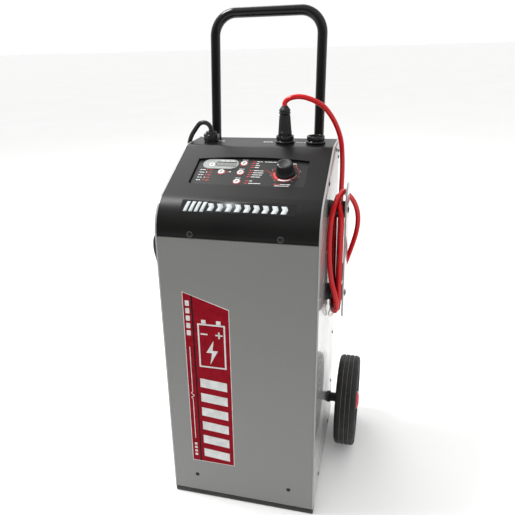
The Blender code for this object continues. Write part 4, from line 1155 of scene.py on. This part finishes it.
def make_hub(name, at, body):
    """A moulded hub: a boss and a rim joined by a web with holes and ribs on both faces."""
    boss = [(0.00808, 0.0408), (0.0182, 0.0408), (0.019, 0.04), (0.02, 0.033), (0.0215, 0.03),
            (0.0215, 0.018), (0.02, 0.01), (0.019, 0.0018), (0.0182, 0.001), (0.00808, 0.001)]
    lathe(name + "_boss", boss, at, "satin_plastic", body, 64, ring=True)
    rim = [
        (0.064, 0.0392), (0.0648, 0.04), (0.0732, 0.04), (0.074, 0.0392), (0.074, 0.0053), (0.0732, 0.0045),
        (0.0648, 0.0045), (0.064, 0.0053), (0.062, 0.015), (0.062, 0.03),
    ]
    outer = lathe(name + "_rim", rim, at, "satin_plastic", body, 96, ring=True)
    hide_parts("wheel_hub_" + name)
    loops = [circle((0, 0), 0.0628, 96), circle((0, 0), 0.0208, 48)]
    for i in range(8):
        middle = math.tau * (i + 0.5) / 8
        half = math.radians(14.5)
        hole = arc((0, 0), 0.054, math.degrees(middle - half), math.degrees(middle + half), 8)
        hole += arc((0, 0), 0.031, math.degrees(middle + half * 0.75), math.degrees(middle - half * 0.75), 6)
        loops.append(hole)
    plate(name + "_web", loops, 0.0215, 0.0255, at, "satin_plastic", body, soft=0.0006)
    for i in range(8):
        turn = at @ Matrix.Rotation(math.tau * i / 8, 4, "Z")
        rib = [(0.02, 0.012), (0.02, 0.0345), (0.026, 0.035), (0.056, 0.0325), (0.0635, 0.0335),
               (0.0635, 0.013), (0.056, 0.014), (0.026, 0.0115)]
        on_edge = turn @ Matrix.Rotation(math.pi / 2, 4, "X")
        plate(f"{name}_rib_{i}", [rib], -0.0015, 0.0015, on_edge, "satin_plastic", body, soft=0.0005)


# Winders and back


def make_winders():
    for side, name in ((1, "right"), (-1, "left")):
        at = outward(side, PLATE_IN, WINDER_Y, sum(POST_Z) / 2 - winder_drop(side))
        blade = plate(name + "_plate", [slot_outline(0, 0, 0.06, 0.262, 28)], 0, 0.003, at, "plate_paint",
                      soft=0.0006)
        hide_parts(name + "_winder_plate")
        for level, z in zip(("lower", "upper"), POST_Z):
            at = outward(side, BODY_HALF, WINDER_Y, z - winder_drop(side))
            post = [(0, 0.0302), (0.0142, 0.0302), (0.015, 0.0294), (0.015, 0.024), (0.0146, 0.0232),
                    (0.0146, 0.007), (0.015, 0.0062), (0.0162, 0.003), (0.0162, 0.0003), (0, 0.0003)]
            drum = lathe(f"{name}_{level}_drum", post, at, "satin_plastic", steps=64)
            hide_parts(f"{name}_{level}_post")


def make_back():
    """Finger guard over the fan, and a rating plate with plain rows."""
    at = back(0, REAR_Y + 0.0003, 0.33)
    for i, radius in enumerate((0.018, 0.029, 0.04, 0.051)):
        outline = circle((0, 0), radius, 64)
        points = [at @ Vector((x, z, 0.0004)) for x, z in [*outline, outline[0]]]
        swept(points, 0.0008, f"guard_ring_{i}", "steel", sides=3)
    for i in range(4):
        a = math.radians(45 + 90 * i)
        points = [at @ Vector((r * math.cos(a), r * math.sin(a), 0.0009)) for r in (0.015, 0.035, 0.06)]
        swept(points, 0.0009, f"guard_arm_{i}", "steel", sides=3)
    sign = back(0, REAR_Y, 0.5)
    plate("rating_plate", [rounded_box(0, 0, 0.09, 0.05, 0.003)], 0, 0.0006, sign, "aluminium", soft=0.0002)
    for i in range(4):
        row = bar(-0.038, 0.0125 - i * 0.0095, 0.076 - 0.011 * (i % 3), 0.0022)
        plate(f"rating_row_{i}", [row], 0.00062, 0.0007, sign, "segment_dark")


def give_looks_to_the_rest():
    """The CAD solids that still show take their finishes here."""
    record_slots = {part["node"]: part["material_slot"] for part in frame["record"]["subparts"]}
    for node, obj in frame["nodes"].items():
        look = LOOKS[record_slots[node]]
        if node == "control_tray":
            look = LOOKS["recess_paint"]
        if not obj.material_slots:
            obj.data.materials.append(look)
        for slot in obj.material_slots:
            slot.link = "OBJECT"
            slot.material = look


# Studio


def make_studio():
    glow = {"Emission_Color": (1, 1, 1, 1), "Emission_Strength": 0.1}
    stage = Finish("stage_look", (0.86, 0.86, 0.855), 0.55, **glow)
    stage.tint(stage.noise(1.5, 3), (0.88, 0.88, 0.875), 0.0, 1.0)
    stage.relief(stage.noise(30.0, 3), 0.0002, 0.1)
    LOOKS["stage"] = stage.material
    mesh = bpy.data.meshes.new("floor")
    reach = 30.0
    corners = [(-reach, -reach, 0), (reach, -reach, 0), (reach, reach, 0), (-reach, reach, 0)]
    mesh.from_pydata(corners, [], [(0, 1, 2, 3)])
    floor = bpy.data.objects.new("floor", mesh)
    mesh.materials.append(stage.material)
    floor.location.z = -0.0006
    bpy.context.scene.collection.objects.link(floor)

    make_world()
    lights = (
        ("overhead_light", (-1.0, 1.6, 2.5), (0.0, 0.0, 0.5), 1.4, 20),
        ("shoulder_light", (-1.06, -0.06, 2.5), (-0.1, -0.1, 0.6), 0.55, 42),
        ("right_light", (2.4, 0.3, 1.1), (0.1, 0.0, 0.35), 1.3, 2),
    )
    for name, origin, aim, size, power in lights:
        data = bpy.data.lights.new(name, "AREA")
        data.shape = "SQUARE"
        data.size = size
        data.energy = power
        light = bpy.data.objects.new(name, data)
        toward = (Vector(aim) - Vector(origin)).normalized()
        light.matrix_world = Matrix.Translation(origin) @ toward.to_track_quat("-Z", "Y").to_matrix().to_4x4()
        bpy.context.scene.collection.objects.link(light)
    bpy.context.scene.view_settings.view_transform = "Standard"


def make_world():
    """White behind and above, dimmer towards the front, so that dark paint keeps its depth."""
    world = bpy.data.worlds.new("studio")
    world.use_nodes = True
    tree = world.node_tree
    background = tree.nodes["Background"]
    direction = tree.nodes.new("ShaderNodeTexCoord").outputs["Generated"]
    parts = tree.nodes.new("ShaderNodeSeparateXYZ")
    tree.links.new(direction, parts.inputs["Vector"])
    height = tree.nodes.new("ShaderNodeMath")
    height.operation = "MULTIPLY_ADD"
    height.inputs[1].default_value = 1.5
    tree.links.new(parts.outputs["Z"], height.inputs[0])
    tree.links.new(parts.outputs["Y"], height.inputs[2])
    fade = tree.nodes.new("ShaderNodeMapRange")
    fade.interpolation_type = "SMOOTHSTEP"
    socket_set(fade, From_Min=-0.5, From_Max=0.4, To_Min=FRONT_GLOW, To_Max=1.0)
    tree.links.new(height.outputs["Value"], fade.inputs["Value"])
    tree.links.new(fade.outputs["Result"], background.inputs["Strength"])
    background.inputs["Color"].default_value = (1.0, 1.0, 1.0, 1)
    bpy.context.scene.world = world


make_camera()
give_looks_to_the_rest()
plug_pieces = make_plug()
make_red_lead(plug_pieces + make_lug())
make_mains_cord([make_gland()] + make_mains_plug())
make_casing()
make_side_screws()
make_front_screws()
make_rear_screws()
make_front_decal()
make_nose_band()
make_display()
make_keys()
make_lamps()
make_legends()
make_knob_scale()
make_knob()
make_sockets()
make_top_marks()
make_handle()
make_wheels()
make_winders()
make_back()
make_studio()
